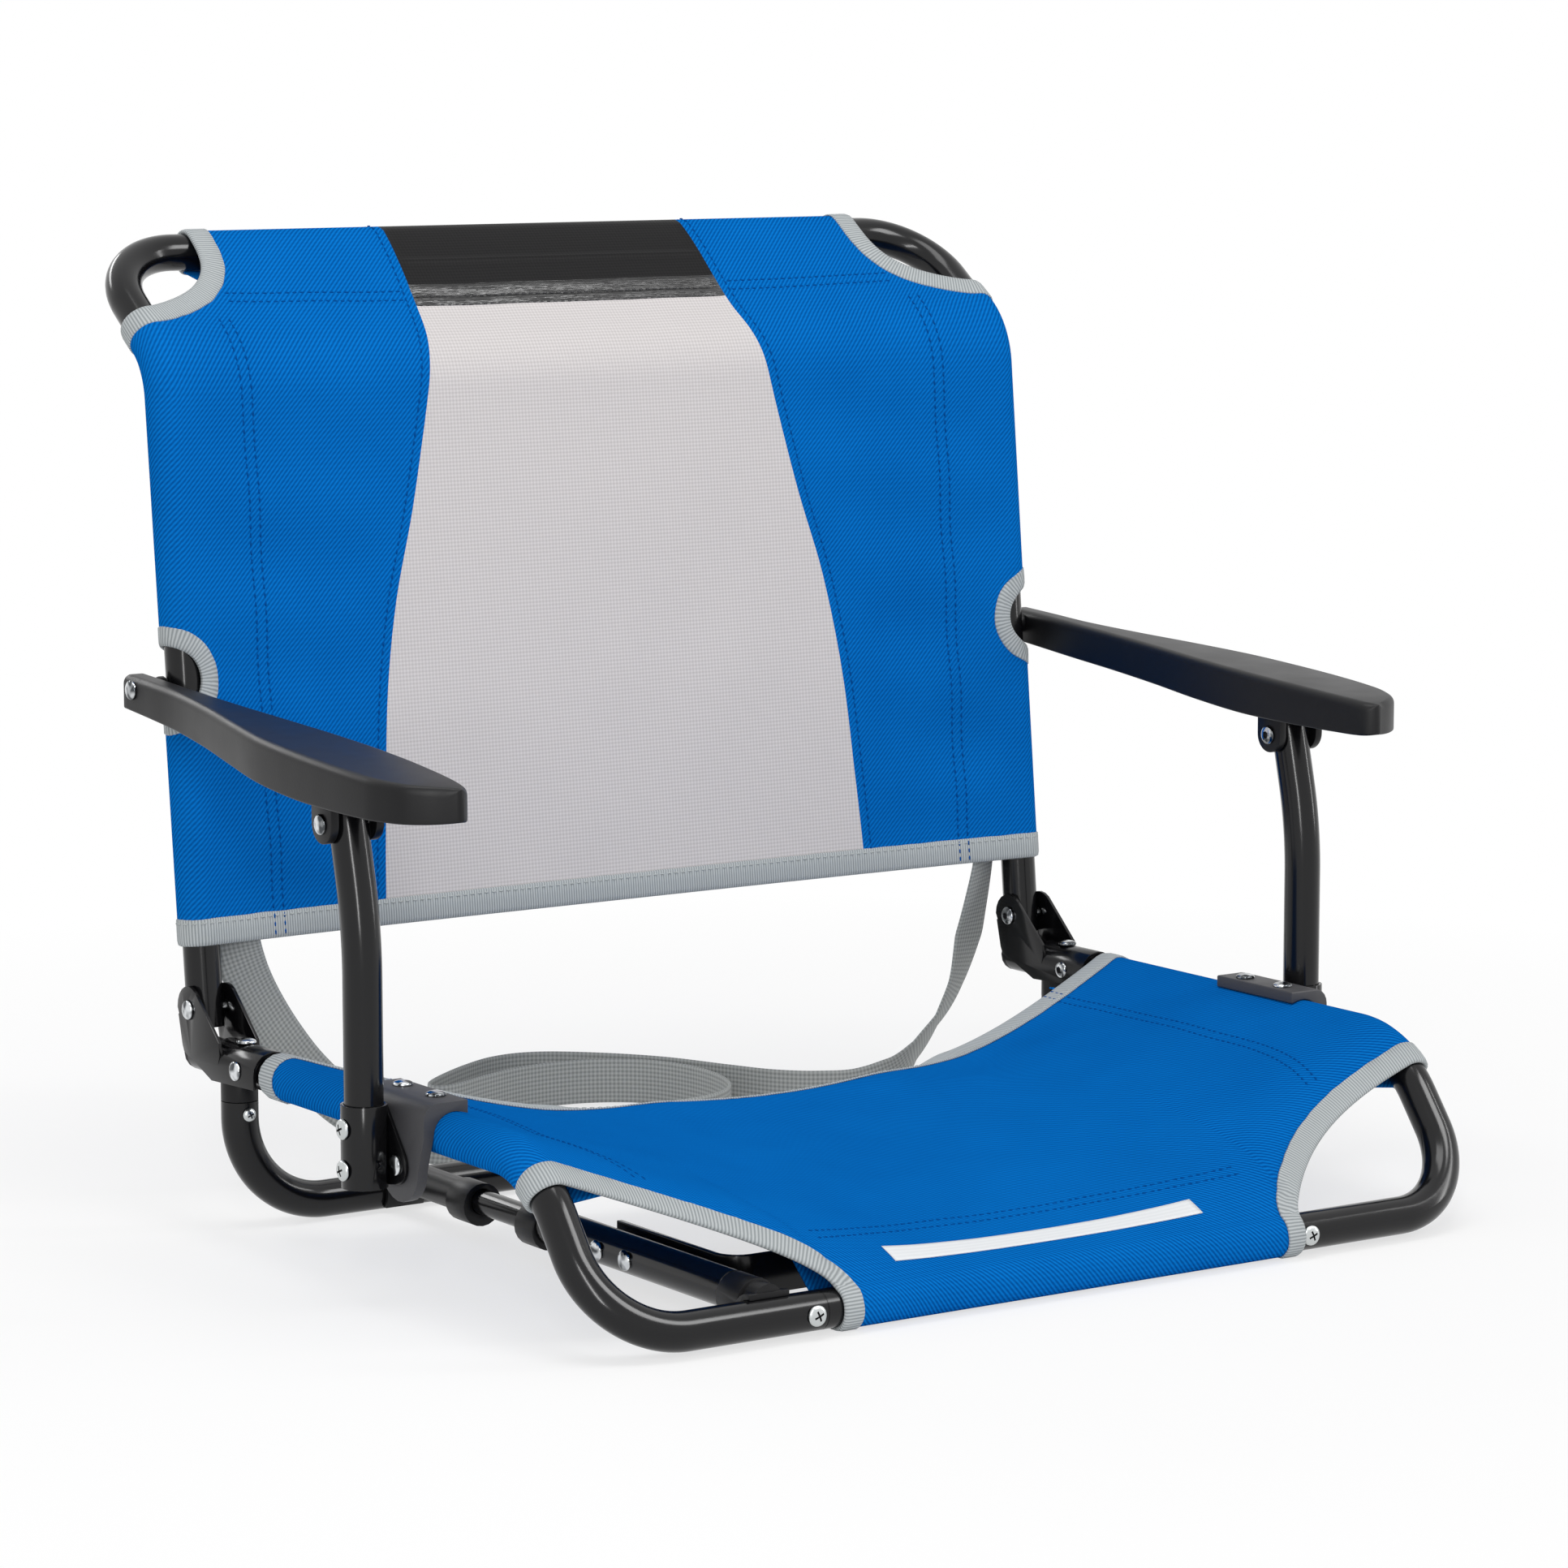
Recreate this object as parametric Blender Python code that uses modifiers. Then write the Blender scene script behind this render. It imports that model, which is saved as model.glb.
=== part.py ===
"""Folding stadium chair: bent tube frame, cloth seat and back, moulded arms, bench hook and strap.

Metres, +Z up, the bench at Z = 0 and the chair facing -Y. The back, arms and arm supports form
a parallelogram on each side, so the back folds down onto the seat with the arms level.
"""
import math

import bmesh
import bpy
from mathutils import Matrix, Vector

MM = 0.001

# Frame tube and general fits
TUBE_D = 19.0 * MM
TUBE_SIDES = 16
FIT = 0.3 * MM
PIN_D = 6.0 * MM
HEAD_D = 10.0 * MM
HEAD_H = 2.2 * MM
SHEET_STEEL = 1.8 * MM

# Seat frame: "ahead" is measured forward of the back hinge line
FRAME_W = 517.0 * MM
RAIL_Z = 85.0 * MM
RAIL_TAIL = 2.0 * MM
RAIL_BEND_AHEAD = 323.0 * MM
RAIL_BEND_R = 60.0 * MM
FRONT_BAR_AHEAD = 380.0 * MM
FRONT_BAR_Z = 11.0 * MM
FRONT_CORNER_R = 45.0 * MM
FRONT_JOINT_INSET = 117.5 * MM
SPIGOT_D = 15.6 * MM
SPIGOT_L = 22.0 * MM
FRONT_SCREW_INSET = 110.5 * MM
REAR_LEG_AHEAD = 36.0 * MM
REAR_LEG_TOP = 66.0 * MM
REAR_CORNER_R = 48.0 * MM
LEG_SCREW_DROP = 6.0 * MM
PLUG_L = 5.0 * MM

# Pivots of the folding parallelogram
HINGE_AHEAD = 4.5 * MM
HINGE_Z = 108.5 * MM
LINK_LEAN = 24.5 * MM
LINK_RISE = 162.0 * MM
ARM_LINK_AHEAD = 220.5 * MM
ARM_LINK_DROP = 40.0 * MM

# Back frame
BACK_RECLINE = math.radians(5.67)
HINGE_OFFSET = 4.1 * MM
BACK_FOOT = 8.0 * MM
BACK_STRAIGHT = 327.3 * MM
BACK_BEND_R = 40.0 * MM
TOP_LEAN = math.radians(53.8)
TOP_RUN = 87.8 * MM
TOP_CORNER_R = 41.6 * MM

# Hinge bracket
EAR_R = 12.0 * MM
SADDLE_FROM = 26.0 * MM
SADDLE_TO = 72.0 * MM
SKIRT_DROP = 7.0 * MM
BRACKET_RIVET_AHEAD = 54.0 * MM

# Cloth
CLOTH = 0.9 * MM
SLEEVE_GAP = 0.6 * MM
SLEEVE_FLAP = 38.0 * MM
HEM_Z = 141.0 * MM
BACK_SIDE_END = 30.0 * MM
TOP_SLEEVE_HALF = 209.0 * MM
ARM_CUTOUT_W = 21.0 * MM
ARM_CUTOUT_H = 36.0 * MM
ARM_CUTOUT_OUT = 8.0 * MM
ARM_CUTOUT_RISE = 4.0 * MM
SEAT_REAR_AHEAD = 78.0 * MM
SEAT_REAR_DIP = 45.0 * MM
SEAT_SIDE_END = 336.0 * MM
FRONT_SLEEVE_INSET = 115.5 * MM
SEAT_SAG = 44.0 * MM

# Arm clamp, support bracket and support tube
CLAMP_WALL = 5.4 * MM
CLAMP_TOP = 16.0 * MM
CLAMP_LIP = 7.5 * MM
CLAMP_REAR = 39.5 * MM
CLAMP_FRONT = 23.5 * MM
CLAMP_FOOT_R = 18.0 * MM
CLAMP_RIVET_NEAR = 6.5 * MM
CLAMP_RIVET_STEP = 31.0 * MM
FLANGE_REACH = 12.5 * MM
FLANGE_R = 9.5 * MM
BRACKET_LOW = 11.5 * MM
BRACKET_H = 40.0 * MM
BRACKET_SCREW_LOW = 9.0 * MM
BRACKET_SCREW_STEP = 20.0 * MM
SUPPORT_BEND_DROP = 50.0 * MM
SUPPORT_BEND_R = 200.0 * MM
SUPPORT_TOP = 8.0 * MM

# Armrest
SPACER_L = 3.4 * MM
SPACER_D = 12.0 * MM
ARM_WALL = 3.2 * MM
ARM_POCKET_FROM = 70.0 * MM
ARM_POCKET_TO = 275.0 * MM
CLEVIS_EAR = 4.4 * MM
CLEVIS_R = 9.5 * MM
ARM_TOP_R = 4.5 * MM
ARM_LOW_R = 1.2 * MM

# Bench hook
HOOK_INSET = 89.5 * MM
HOOK_Z = 18.5 * MM
ROD_D = 12.7 * MM
SOCKET_D = 17.0 * MM
SOCKET_CLIP_D = 25.0 * MM
SOCKET_CLIP_L = 22.0 * MM
SOCKET_CLIP_OPEN = 1.5 * MM
REAR_SOCKET_END = 124.0 * MM
SLEEVE_D = 19.0 * MM
SLEEVE_FROM = 190.0 * MM
SLEEVE_TO = 352.0 * MM
BUSH_L = 18.0 * MM
LOBE_D = 22.0 * MM
LOBE_DROP = 1.5 * MM
HOOK_PLATE_T = 3.0 * MM
HOOK_TANG_H = 20.0 * MM
HOOK_TANG_FROM = 234.0 * MM
HOOK_ARM_AHEAD = 331.0 * MM
HOOK_ARM_L = 66.0 * MM
HOOK_TOE_L = 48.0 * MM
HOOK_BEND_R = 13.0 * MM
HOOK_RIVET_AHEAD = 246.6 * MM
HOOK_RIVET_STEP = 25.5 * MM

# Carry strap
STRAP_W = 25.0 * MM
STRAP_T = 1.6 * MM

# Values that follow from the sizes above
TUBE_R = TUBE_D / 2
RAIL_X = FRAME_W / 2
SLEEVE_R = TUBE_R + SLEEVE_GAP + CLOTH / 2
SLEEVE_OUT = SLEEVE_R + CLOTH / 2
FACET_R = TUBE_R * math.cos(math.pi / TUBE_SIDES)
HOLE_D = PIN_D + 2 * FIT
TOP_BACK = (BACK_STRAIGHT * math.sin(BACK_RECLINE) + TOP_RUN * math.sin(TOP_LEAN)
            + HINGE_OFFSET - HINGE_AHEAD)
FRONT_REACH = FRONT_BAR_AHEAD + TUBE_R + FIT + HEAD_H
HINGE_Y = (FRONT_REACH - TOP_BACK - SLEEVE_OUT) / 2
CLAMP_BORE = SLEEVE_OUT + FIT
CLAMP_OUT = CLAMP_BORE + CLAMP_WALL
BRACKET_IN = TUBE_R + FIT
BRACKET_OUT = BRACKET_IN + 1.5 * MM
SUPPORT_X = RAIL_X + CLAMP_OUT + FIT + BRACKET_OUT
EAR_IN = TUBE_R + FIT
EAR_OUT = EAR_IN + SHEET_STEEL
HOOK_X = HOOK_INSET - RAIL_X
FRONT_JOINT_X = RAIL_X - FRONT_JOINT_INSET
FRONT_SCREW_X = RAIL_X - FRONT_SCREW_INSET
FRONT_SLEEVE_HALF = RAIL_X - FRONT_SLEEVE_INSET


def spot(x, ahead, z):
    """Return the point at x, so far ahead of the back hinge line, at height z."""
    return Vector((x, HINGE_Y - ahead, z))


HINGE = (HINGE_AHEAD, HINGE_Z)
ARM_REAR = (HINGE_AHEAD - LINK_LEAN, HINGE_Z + LINK_RISE)
SUPPORT_FOOT = (HINGE_AHEAD + ARM_LINK_AHEAD, HINGE_Z - ARM_LINK_DROP)
ARM_FRONT = (SUPPORT_FOOT[0] - LINK_LEAN, SUPPORT_FOOT[1] + LINK_RISE)
SUPPORT_AHEAD = SUPPORT_FOOT[0] - FLANGE_REACH


# Scene, collections and materials
for old in list(bpy.data.objects):
    bpy.data.objects.remove(old, do_unlink=True)
chair = bpy.data.collections.new("stadium_chair")
cutters = bpy.data.collections.new("cutters")
bpy.context.scene.collection.children.link(chair)
bpy.context.scene.collection.children.link(cutters)


def finish(name, color, roughness, metallic):
    """Return a Principled material with a plain colour."""
    material = bpy.data.materials.new(name)
    material.use_nodes = True
    shader = material.node_tree.nodes["Principled BSDF"]
    shader.inputs["Base Color"].default_value = (*color, 1.0)
    shader.inputs["Roughness"].default_value = roughness
    shader.inputs["Metallic"].default_value = metallic
    return material


black_paint = finish("black_powder_coat", (0.022, 0.022, 0.024), 0.28, 0.0)
black_plastic = finish("black_moulded_plastic", (0.02, 0.02, 0.022), 0.4, 0.0)
grey_plastic = finish("dark_grey_plastic", (0.06, 0.06, 0.062), 0.5, 0.0)
zinc = finish("zinc_plated_steel", (0.62, 0.63, 0.65), 0.28, 1.0)
blue_cloth = finish("blue_polyester", (0.004, 0.13, 0.47), 0.8, 0.0)
grey_webbing = finish("grey_webbing", (0.27, 0.29, 0.3), 0.85, 0.0)


# Helpers
def add_part(name, mesh, material, smooth=40.0):
    """Put a mesh into the chair's collection as a named part."""
    part = bpy.data.objects.new(name, mesh)
    part.data.materials.clear()
    part.data.materials.append(material)
    chair.objects.link(part)
    if part.type == "MESH":
        mesh.shade_smooth()
        mesh.set_sharp_from_angle(angle=math.radians(smooth))
    return part


def add_cutter(mesh, name):
    """Put a mesh into the cutters' collection."""
    cutter = bpy.data.objects.new(name, mesh)
    cutters.objects.link(cutter)
    cutter.hide_render = True
    cutter.display_type = "WIRE"
    return cutter


def combine(part, operation, mesh):
    """Add a Boolean modifier that joins, cuts or trims a part with a mesh."""
    cutter = add_cutter(mesh, part.name + "_" + operation.lower())
    modifier = part.modifiers.new(operation.lower(), "BOOLEAN")
    modifier.operation = operation
    modifier.solver = "EXACT"
    modifier.object = cutter


def mesh_from(build):
    """Return a mesh with outward faces from a bmesh."""
    bmesh.ops.recalc_face_normals(build, faces=build.faces)
    mesh = bpy.data.meshes.new("shape")
    build.to_mesh(mesh)
    build.free()
    return mesh


def aim(start, end):
    """Return a matrix that puts local Z along start to end, centred between them."""
    axis = end - start
    turn = axis.to_track_quat("Z", "Y").to_matrix().to_4x4()
    return Matrix.Translation((start + end) / 2) @ turn


def rod_mesh(start, end, radius, sides=20):
    """Return a closed cylinder between two points."""
    build = bmesh.new()
    matrix = aim(start, end)
    bmesh.ops.create_cone(build, cap_ends=True, segments=sides, radius1=radius, radius2=radius,
                          depth=(end - start).length, matrix=matrix)
    return mesh_from(build)


def box_mesh(low, high):
    """Return a closed box between two corners."""
    build = bmesh.new()
    size = high - low
    matrix = Matrix.Translation((low + high) / 2) @ Matrix.Diagonal((*size, 1.0))
    bmesh.ops.create_cube(build, size=1.0, matrix=matrix)
    return mesh_from(build)


def prism_mesh(outline, shift):
    """Return an outline of points extruded along a vector."""
    build = bmesh.new()
    ring = [build.verts.new(point) for point in outline]
    face = build.faces.new(ring)
    grown = bmesh.ops.extrude_face_region(build, geom=[face])
    moved = [item for item in grown["geom"] if isinstance(item, bmesh.types.BMVert)]
    bmesh.ops.translate(build, verts=moved, vec=shift)
    return mesh_from(build)


def turned_mesh(start, direction, profile, sides=12):
    """Spin a profile of (radius, height) pairs round an axis into a closed solid."""
    build = bmesh.new()
    turn = direction.to_track_quat("Z", "Y").to_matrix().to_4x4()
    matrix = Matrix.Translation(start) @ turn
    verts = [build.verts.new((radius, 0.0, height)) for radius, height in profile]
    edges = [build.edges.new(pair) for pair in zip(verts, verts[1:])]
    bmesh.ops.spin(build, geom=verts + edges, cent=(0, 0, 0), axis=(0, 0, 1),
                   angle=math.tau, steps=sides, use_merge=True)
    bmesh.ops.remove_doubles(build, verts=build.verts, dist=0.01 * MM)
    bmesh.ops.transform(build, matrix=matrix, verts=build.verts)
    return mesh_from(build)


def dome(radius, height, base, steps=3):
    """Return the profile of a low domed head that starts at a height of base."""
    rim = height * 0.3
    points = [(radius, base), (radius, base + rim)]
    for step in range(1, steps):
        angle = math.pi / 2 * step / steps
        points.append((radius * math.cos(angle), base + rim + (height - rim) * math.sin(angle)))
    points.append((0.0, base + height))
    return points


def head_part(name, seat, direction, material=zinc, size=HEAD_D):
    """Make a domed rivet or screw head that sits on a surface point."""
    profile = [(0.0, FIT)] + dome(size / 2, HEAD_H, FIT)
    return add_part(name, turned_mesh(seat, direction, profile), material)


def pin_part(name, start, end, blind=False):
    """Make a pin with a domed head past each of the faces that it clamps, or past the end face only."""
    length = (end - start).length
    shank = PIN_D / 2
    upper = [(shank, length + FIT)] + dome(HEAD_D / 2, HEAD_H, length + FIT)
    lower = [(radius, length - height) for radius, height in upper[::-1]]
    if blind:
        lower = [(0.0, 0.0), (shank, 0.0)]
    return add_part(name, turned_mesh(start, end - start, lower + upper), zinc)


def arc_points(center, first, last, angle, steps):
    """Return points that turn from first to last round a centre."""
    axis = first.cross(last).normalized()
    points = []
    for step in range(steps + 1):
        turn = Matrix.Rotation(angle * step / steps, 3, axis)
        points.append(center + turn @ first)
    return points


def bent_path(corners, radii, step=math.radians(11.25)):
    """Return a path through corners whose bends are arcs of the given radii."""
    path = [corners[0]]
    for before, corner, after, radius in zip(corners, corners[1:], corners[2:], radii):
        back = (before - corner).normalized()
        on = (after - corner).normalized()
        opening = back.angle(on)
        run = radius / math.tan(opening / 2)
        center = corner + (back + on).normalized() * radius / math.sin(opening / 2)
        bend = math.pi - opening
        steps = max(2, math.ceil(bend / step))
        path += arc_points(center, corner + back * run - center, corner + on * run - center,
                           bend, steps)
    path.append(corners[-1])
    return path


def tube_mesh(path, radius=TUBE_R, sides=TUBE_SIDES, tilt=0.0):
    """Return a mesh tube along a path, from a curve with a bevel and filled caps."""
    curve = bpy.data.curves.new("tube", "CURVE")
    curve.dimensions = "3D"
    curve.twist_mode = "Z_UP"
    curve.bevel_depth = radius
    curve.bevel_resolution = (sides - 4) // 2
    curve.use_fill_caps = True
    spline = curve.splines.new("POLY")
    spline.points.add(len(path) - 1)
    for knot, point in zip(spline.points, path):
        knot.co = (*point, 1.0)
        knot.tilt = tilt
    carrier = bpy.data.objects.new("tube", curve)
    bpy.context.scene.collection.objects.link(carrier)
    bpy.context.view_layer.update()
    shape = bpy.data.meshes.new_from_object(carrier.evaluated_get(bpy.context.evaluated_depsgraph_get()))
    bpy.data.objects.remove(carrier, do_unlink=True)
    build = bmesh.new()
    build.from_mesh(shape)
    bmesh.ops.remove_doubles(build, verts=build.verts, dist=0.01 * MM)
    return mesh_from(build)


def loft_mesh(rings):
    """Bridge rings of equal point counts and close both ends."""
    build = bmesh.new()
    loops = [[build.verts.new(point) for point in ring] for ring in rings]
    for one, two in zip(loops, loops[1:]):
        for here, there in zip(range(-1, len(one) - 1), range(len(one))):
            build.faces.new((one[here], one[there], two[there], two[here]))
    build.faces.new(loops[0])
    build.faces.new(loops[-1])
    return mesh_from(build)


def cloth_part(name, rows, material):
    """Make a sheet from rows of points, with None where there is no cloth."""
    build = bmesh.new()
    grid = [[build.verts.new(point) if point else None for point in row] for row in rows]
    for one, two in zip(grid, grid[1:]):
        for a, b, c, d in zip(one, one[1:], two[1:], two):
            if a and b and c and d:
                build.faces.new((a, b, c, d))
    stray = [vert for vert in build.verts if not vert.link_faces]
    bmesh.ops.delete(build, geom=stray, context="VERTS")
    part = add_part(name, mesh_from(build), material)
    wall = part.modifiers.new("thickness", "SOLIDIFY")
    wall.thickness = CLOTH
    wall.offset = 0.0
    return part


def along(path, distance):
    """Return the point and direction at a distance along a path."""
    for one, two in zip(path, path[1:]):
        step = (two - one).length
        if distance <= step or two is path[-1]:
            way = (two - one).normalized()
            return one + way * distance, way
        distance -= step


def path_length(path):
    """Return the length of a path."""
    return sum((two - one).length for one, two in zip(path, path[1:]))


def steps_between(low, high, count):
    """Return evenly spaced values, both ends included."""
    return [low + (high - low) * index / count for index in range(count + 1)]


SIDES = (("left", -1), ("right", 1))

# Seat frame: two bent side tubes joined at the front by a plugged-in cross tube
rail_tail = -RAIL_TAIL
for word, sign in SIDES:
    corners = [spot(sign * RAIL_X, rail_tail, RAIL_Z), spot(sign * RAIL_X, RAIL_BEND_AHEAD, RAIL_Z),
               spot(sign * RAIL_X, FRONT_BAR_AHEAD, FRONT_BAR_Z),
               spot(sign * FRONT_JOINT_X, FRONT_BAR_AHEAD, FRONT_BAR_Z)]
    side_tube = add_part(word + "_seat_tube",
                         tube_mesh(bent_path(corners, (RAIL_BEND_R, FRONT_CORNER_R))), black_paint)
    mouth = corners[-1]
    inward = Vector((sign, 0.0, 0.0))
    combine(side_tube, "DIFFERENCE", rod_mesh(mouth - inward * FIT, mouth + inward * (SPIGOT_L + FIT),
                                              SPIGOT_D / 2 + FIT))
    head_part(word + "_front_screw",
              spot(sign * FRONT_SCREW_X, FRONT_BAR_AHEAD + TUBE_R, FRONT_BAR_Z), Vector((0, -1, 0)))
    plug_profile = [(0.0, FIT), (TUBE_R, FIT), (TUBE_R, PLUG_L * 0.6), (TUBE_R * 0.8, PLUG_L), (0.0, PLUG_L)]
    add_part(word + "_rail_plug", turned_mesh(corners[0], Vector((0, 1, 0)), plug_profile, 16),
             black_plastic)

half_bar = FRONT_JOINT_X - FIT
half_spigot = FRONT_JOINT_X + SPIGOT_L - FIT
bar_profile = [(0.0, -half_spigot), (SPIGOT_D / 2, -half_spigot), (SPIGOT_D / 2, -half_bar),
               (TUBE_R, -half_bar), (TUBE_R, half_bar), (SPIGOT_D / 2, half_bar),
               (SPIGOT_D / 2, half_spigot), (0.0, half_spigot)]
add_part("front_bar", turned_mesh(spot(0, FRONT_BAR_AHEAD, FRONT_BAR_Z), Vector((1, 0, 0)), bar_profile, 16),
         black_paint)

# Rear leg: one U-shaped tube with flat facets down, a saddle plug and a screw at each top
leg_corners = [spot(-RAIL_X, REAR_LEG_AHEAD, REAR_LEG_TOP), spot(-RAIL_X, REAR_LEG_AHEAD, FACET_R),
               spot(RAIL_X, REAR_LEG_AHEAD, FACET_R), spot(RAIL_X, REAR_LEG_AHEAD, REAR_LEG_TOP)]
add_part("rear_leg", tube_mesh(bent_path(leg_corners, (REAR_CORNER_R, REAR_CORNER_R)),
                               tilt=math.pi / TUBE_SIDES), black_paint)
for word, sign in SIDES:
    saddle = add_part(word + "_leg_saddle",
                      rod_mesh(spot(sign * RAIL_X, REAR_LEG_AHEAD, REAR_LEG_TOP + FIT),
                               spot(sign * RAIL_X, REAR_LEG_AHEAD, RAIL_Z - TUBE_R / 2), TUBE_R),
                      black_plastic)
    rail_rear = spot(sign * RAIL_X, REAR_LEG_AHEAD - TUBE_D, RAIL_Z)
    rail_front = spot(sign * RAIL_X, REAR_LEG_AHEAD + TUBE_D, RAIL_Z)
    combine(saddle, "DIFFERENCE", rod_mesh(rail_rear, rail_front, TUBE_R + FIT))
    head_part(word + "_leg_screw",
              spot(sign * RAIL_X, REAR_LEG_AHEAD + TUBE_R, REAR_LEG_TOP - LEG_SCREW_DROP),
              Vector((0, -1, 0)), size=HEAD_D * 0.7)

# Hinge brackets: folded steel saddles over the rails with two ears round each back tube
for word, sign in SIDES:
    middle = sign * RAIL_X
    outer = Vector((2 * EAR_OUT, 0.0, 0.0))
    ear_round = [spot(middle - EAR_OUT, HINGE_AHEAD + EAR_R * math.cos(angle),
                      HINGE_Z + EAR_R * math.sin(angle)) for angle in steps_between(math.pi, 0.0, 10)]
    ear_skirt = [(SADDLE_FROM - 4 * MM, RAIL_Z + EAR_OUT * 0.85), (SADDLE_FROM, RAIL_Z),
                 (SADDLE_TO, RAIL_Z), (SADDLE_TO, RAIL_Z - SKIRT_DROP),
                 (SADDLE_FROM + 2 * MM, RAIL_Z - SKIRT_DROP - 2 * MM), (HINGE_AHEAD, RAIL_Z)]
    outline = ear_round + [spot(middle - EAR_OUT, ahead, z) for ahead, z in ear_skirt]
    bracket = add_part(word + "_hinge_bracket", prism_mesh(outline, outer), black_paint)
    combine(bracket, "UNION", rod_mesh(spot(middle, SADDLE_FROM - 4 * MM, RAIL_Z),
                                       spot(middle, SADDLE_TO, RAIL_Z), EAR_OUT))
    far = SADDLE_TO + TUBE_D
    near = HINGE_AHEAD - EAR_R - TUBE_D
    combine(bracket, "DIFFERENCE", rod_mesh(spot(middle, near, RAIL_Z), spot(middle, far, RAIL_Z), EAR_IN))
    combine(bracket, "DIFFERENCE", box_mesh(spot(middle - EAR_IN, far, RAIL_Z - TUBE_D),
                                            spot(middle + EAR_IN, near, RAIL_Z)))
    combine(bracket, "DIFFERENCE", box_mesh(spot(middle - EAR_IN, SADDLE_FROM, RAIL_Z - TUBE_D),
                                            spot(middle + EAR_IN, near, HINGE_Z + EAR_R + TUBE_D)))
    combine(bracket, "DIFFERENCE", rod_mesh(spot(middle - TUBE_D, *HINGE), spot(middle + TUBE_D, *HINGE),
                                            HOLE_D / 2))
    pin_part(word + "_hinge_pin", spot(middle - EAR_OUT, *HINGE), spot(middle + EAR_OUT, *HINGE))
    head_part(word + "_bracket_side_rivet",
              spot(middle + sign * EAR_OUT, BRACKET_RIVET_AHEAD, RAIL_Z), Vector((sign, 0, 0)))
    head_part(word + "_bracket_top_rivet",
              spot(middle, (SADDLE_FROM + SADDLE_TO) / 2 - HEAD_D / 2, RAIL_Z + EAR_OUT), Vector((0, 0, 1)))

# Back frame: one tube, bent back at shoulder height and round the top corners
back_up = Vector((0.0, math.sin(BACK_RECLINE), math.cos(BACK_RECLINE)))
top_up = Vector((0.0, math.sin(TOP_LEAN), math.cos(TOP_LEAN)))


def back_corners(x):
    """Return the corner points of the back tube's side at x."""
    axis = spot(x, HINGE_AHEAD - HINGE_OFFSET, HINGE_Z)
    shoulder = axis + back_up * BACK_STRAIGHT
    return [axis - back_up * BACK_FOOT, shoulder, shoulder + top_up * TOP_RUN]


left_run = back_corners(-RAIL_X)
right_run = back_corners(RAIL_X)
back_radii = (BACK_BEND_R, TOP_CORNER_R, TOP_CORNER_R, BACK_BEND_R)
back_tube = add_part("back_tube", tube_mesh(bent_path(left_run + right_run[::-1], back_radii)), black_paint)
for word, sign in SIDES:
    for pivot in (HINGE, ARM_REAR):
        combine(back_tube, "DIFFERENCE", rod_mesh(spot(sign * (RAIL_X - TUBE_D), *pivot),
                                                  spot(sign * (RAIL_X + TUBE_D), *pivot), HOLE_D / 2, 12))

# Back cover: a sheet stretched between the side tubes, sewn round them and over the top bar
side_path = bent_path(back_corners(0.0), (BACK_BEND_R,))
side_full = path_length(side_path)
hem_start = (HEM_Z - side_path[0].z) / math.cos(BACK_RECLINE)
side_end = side_full - TOP_RUN + BACK_SIDE_END


def wrap_end(across, forward):
    """Return the angle at which a sleeve leaves its tube straight for a point inboard."""
    reach = math.hypot(across, forward)
    return math.tau + math.atan2(across, forward) - math.acos(SLEEVE_R / reach)


flap_front = SLEEVE_R - CLOTH - SLEEVE_GAP
flap_turn = wrap_end(-SLEEVE_FLAP, flap_front)


def sleeve_section(half):
    """Return (across, forward) pairs of a sleeve: round the tube, then back to the panel."""
    round_part = [(half + SLEEVE_R * math.sin(angle), SLEEVE_R * math.cos(angle))
                  for angle in steps_between(0.0, flap_turn, 9)]
    return round_part + [(half - SLEEVE_FLAP, flap_front)]


def back_edge(x):
    """Return how far up the path the cloth reaches at x, inside the corner cut-outs."""
    beyond = max(0.0, (abs(x) - TOP_SLEEVE_HALF) / (RAIL_X - TOP_SLEEVE_HALF))
    return side_full - (side_full - side_end) * beyond ** 0.2


def back_point(x, forward, distance):
    """Return the point at x, so far in front of the back's path."""
    center, way = along(side_path, distance)
    front = Vector((0.0, -way.z, way.y))
    return Vector((x, center.y, center.z)) + front * forward


sleeve = sleeve_section(RAIL_X)
shares = steps_between(0.0, 0.74, 5) + steps_between(0.78, 1.0, 7)
inner_columns = steps_between(0.0, TOP_SLEEVE_HALF, 4)
corner_columns = [TOP_SLEEVE_HALF + (RAIL_X - TOP_SLEEVE_HALF) * share for share in (0.04, 0.2, 0.5)]
half_columns = [(x, SLEEVE_R) for x in inner_columns + corner_columns] + sleeve
columns = [(-x, forward) for x, forward in half_columns[:0:-1]] + half_columns
rows = []
for share in shares:
    row = []
    for x, forward in columns:
        reach = back_edge(min(abs(x), RAIL_X)) if forward == SLEEVE_R else side_end
        row.append(back_point(x, forward, hem_start + (reach - hem_start) * share))
    rows.append(row)
top_center, top_way = along(side_path, side_full)
top_front = Vector((0.0, -top_way.z, top_way.y))
top_turns = [top_front * (SLEEVE_R * math.cos(angle)) + top_way * (SLEEVE_R * math.sin(angle))
             for angle in steps_between(0.0, flap_turn, 9)[1:]]
top_turns.append(top_front * flap_front - top_way * SLEEVE_FLAP)
for turn in top_turns:
    rows.append([Vector((x, *(top_center + turn).yz)) if abs(x) <= TOP_SLEEVE_HALF else None
                 for x, forward in columns])
back_cover = cloth_part("back_cover", rows, blue_cloth)
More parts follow.
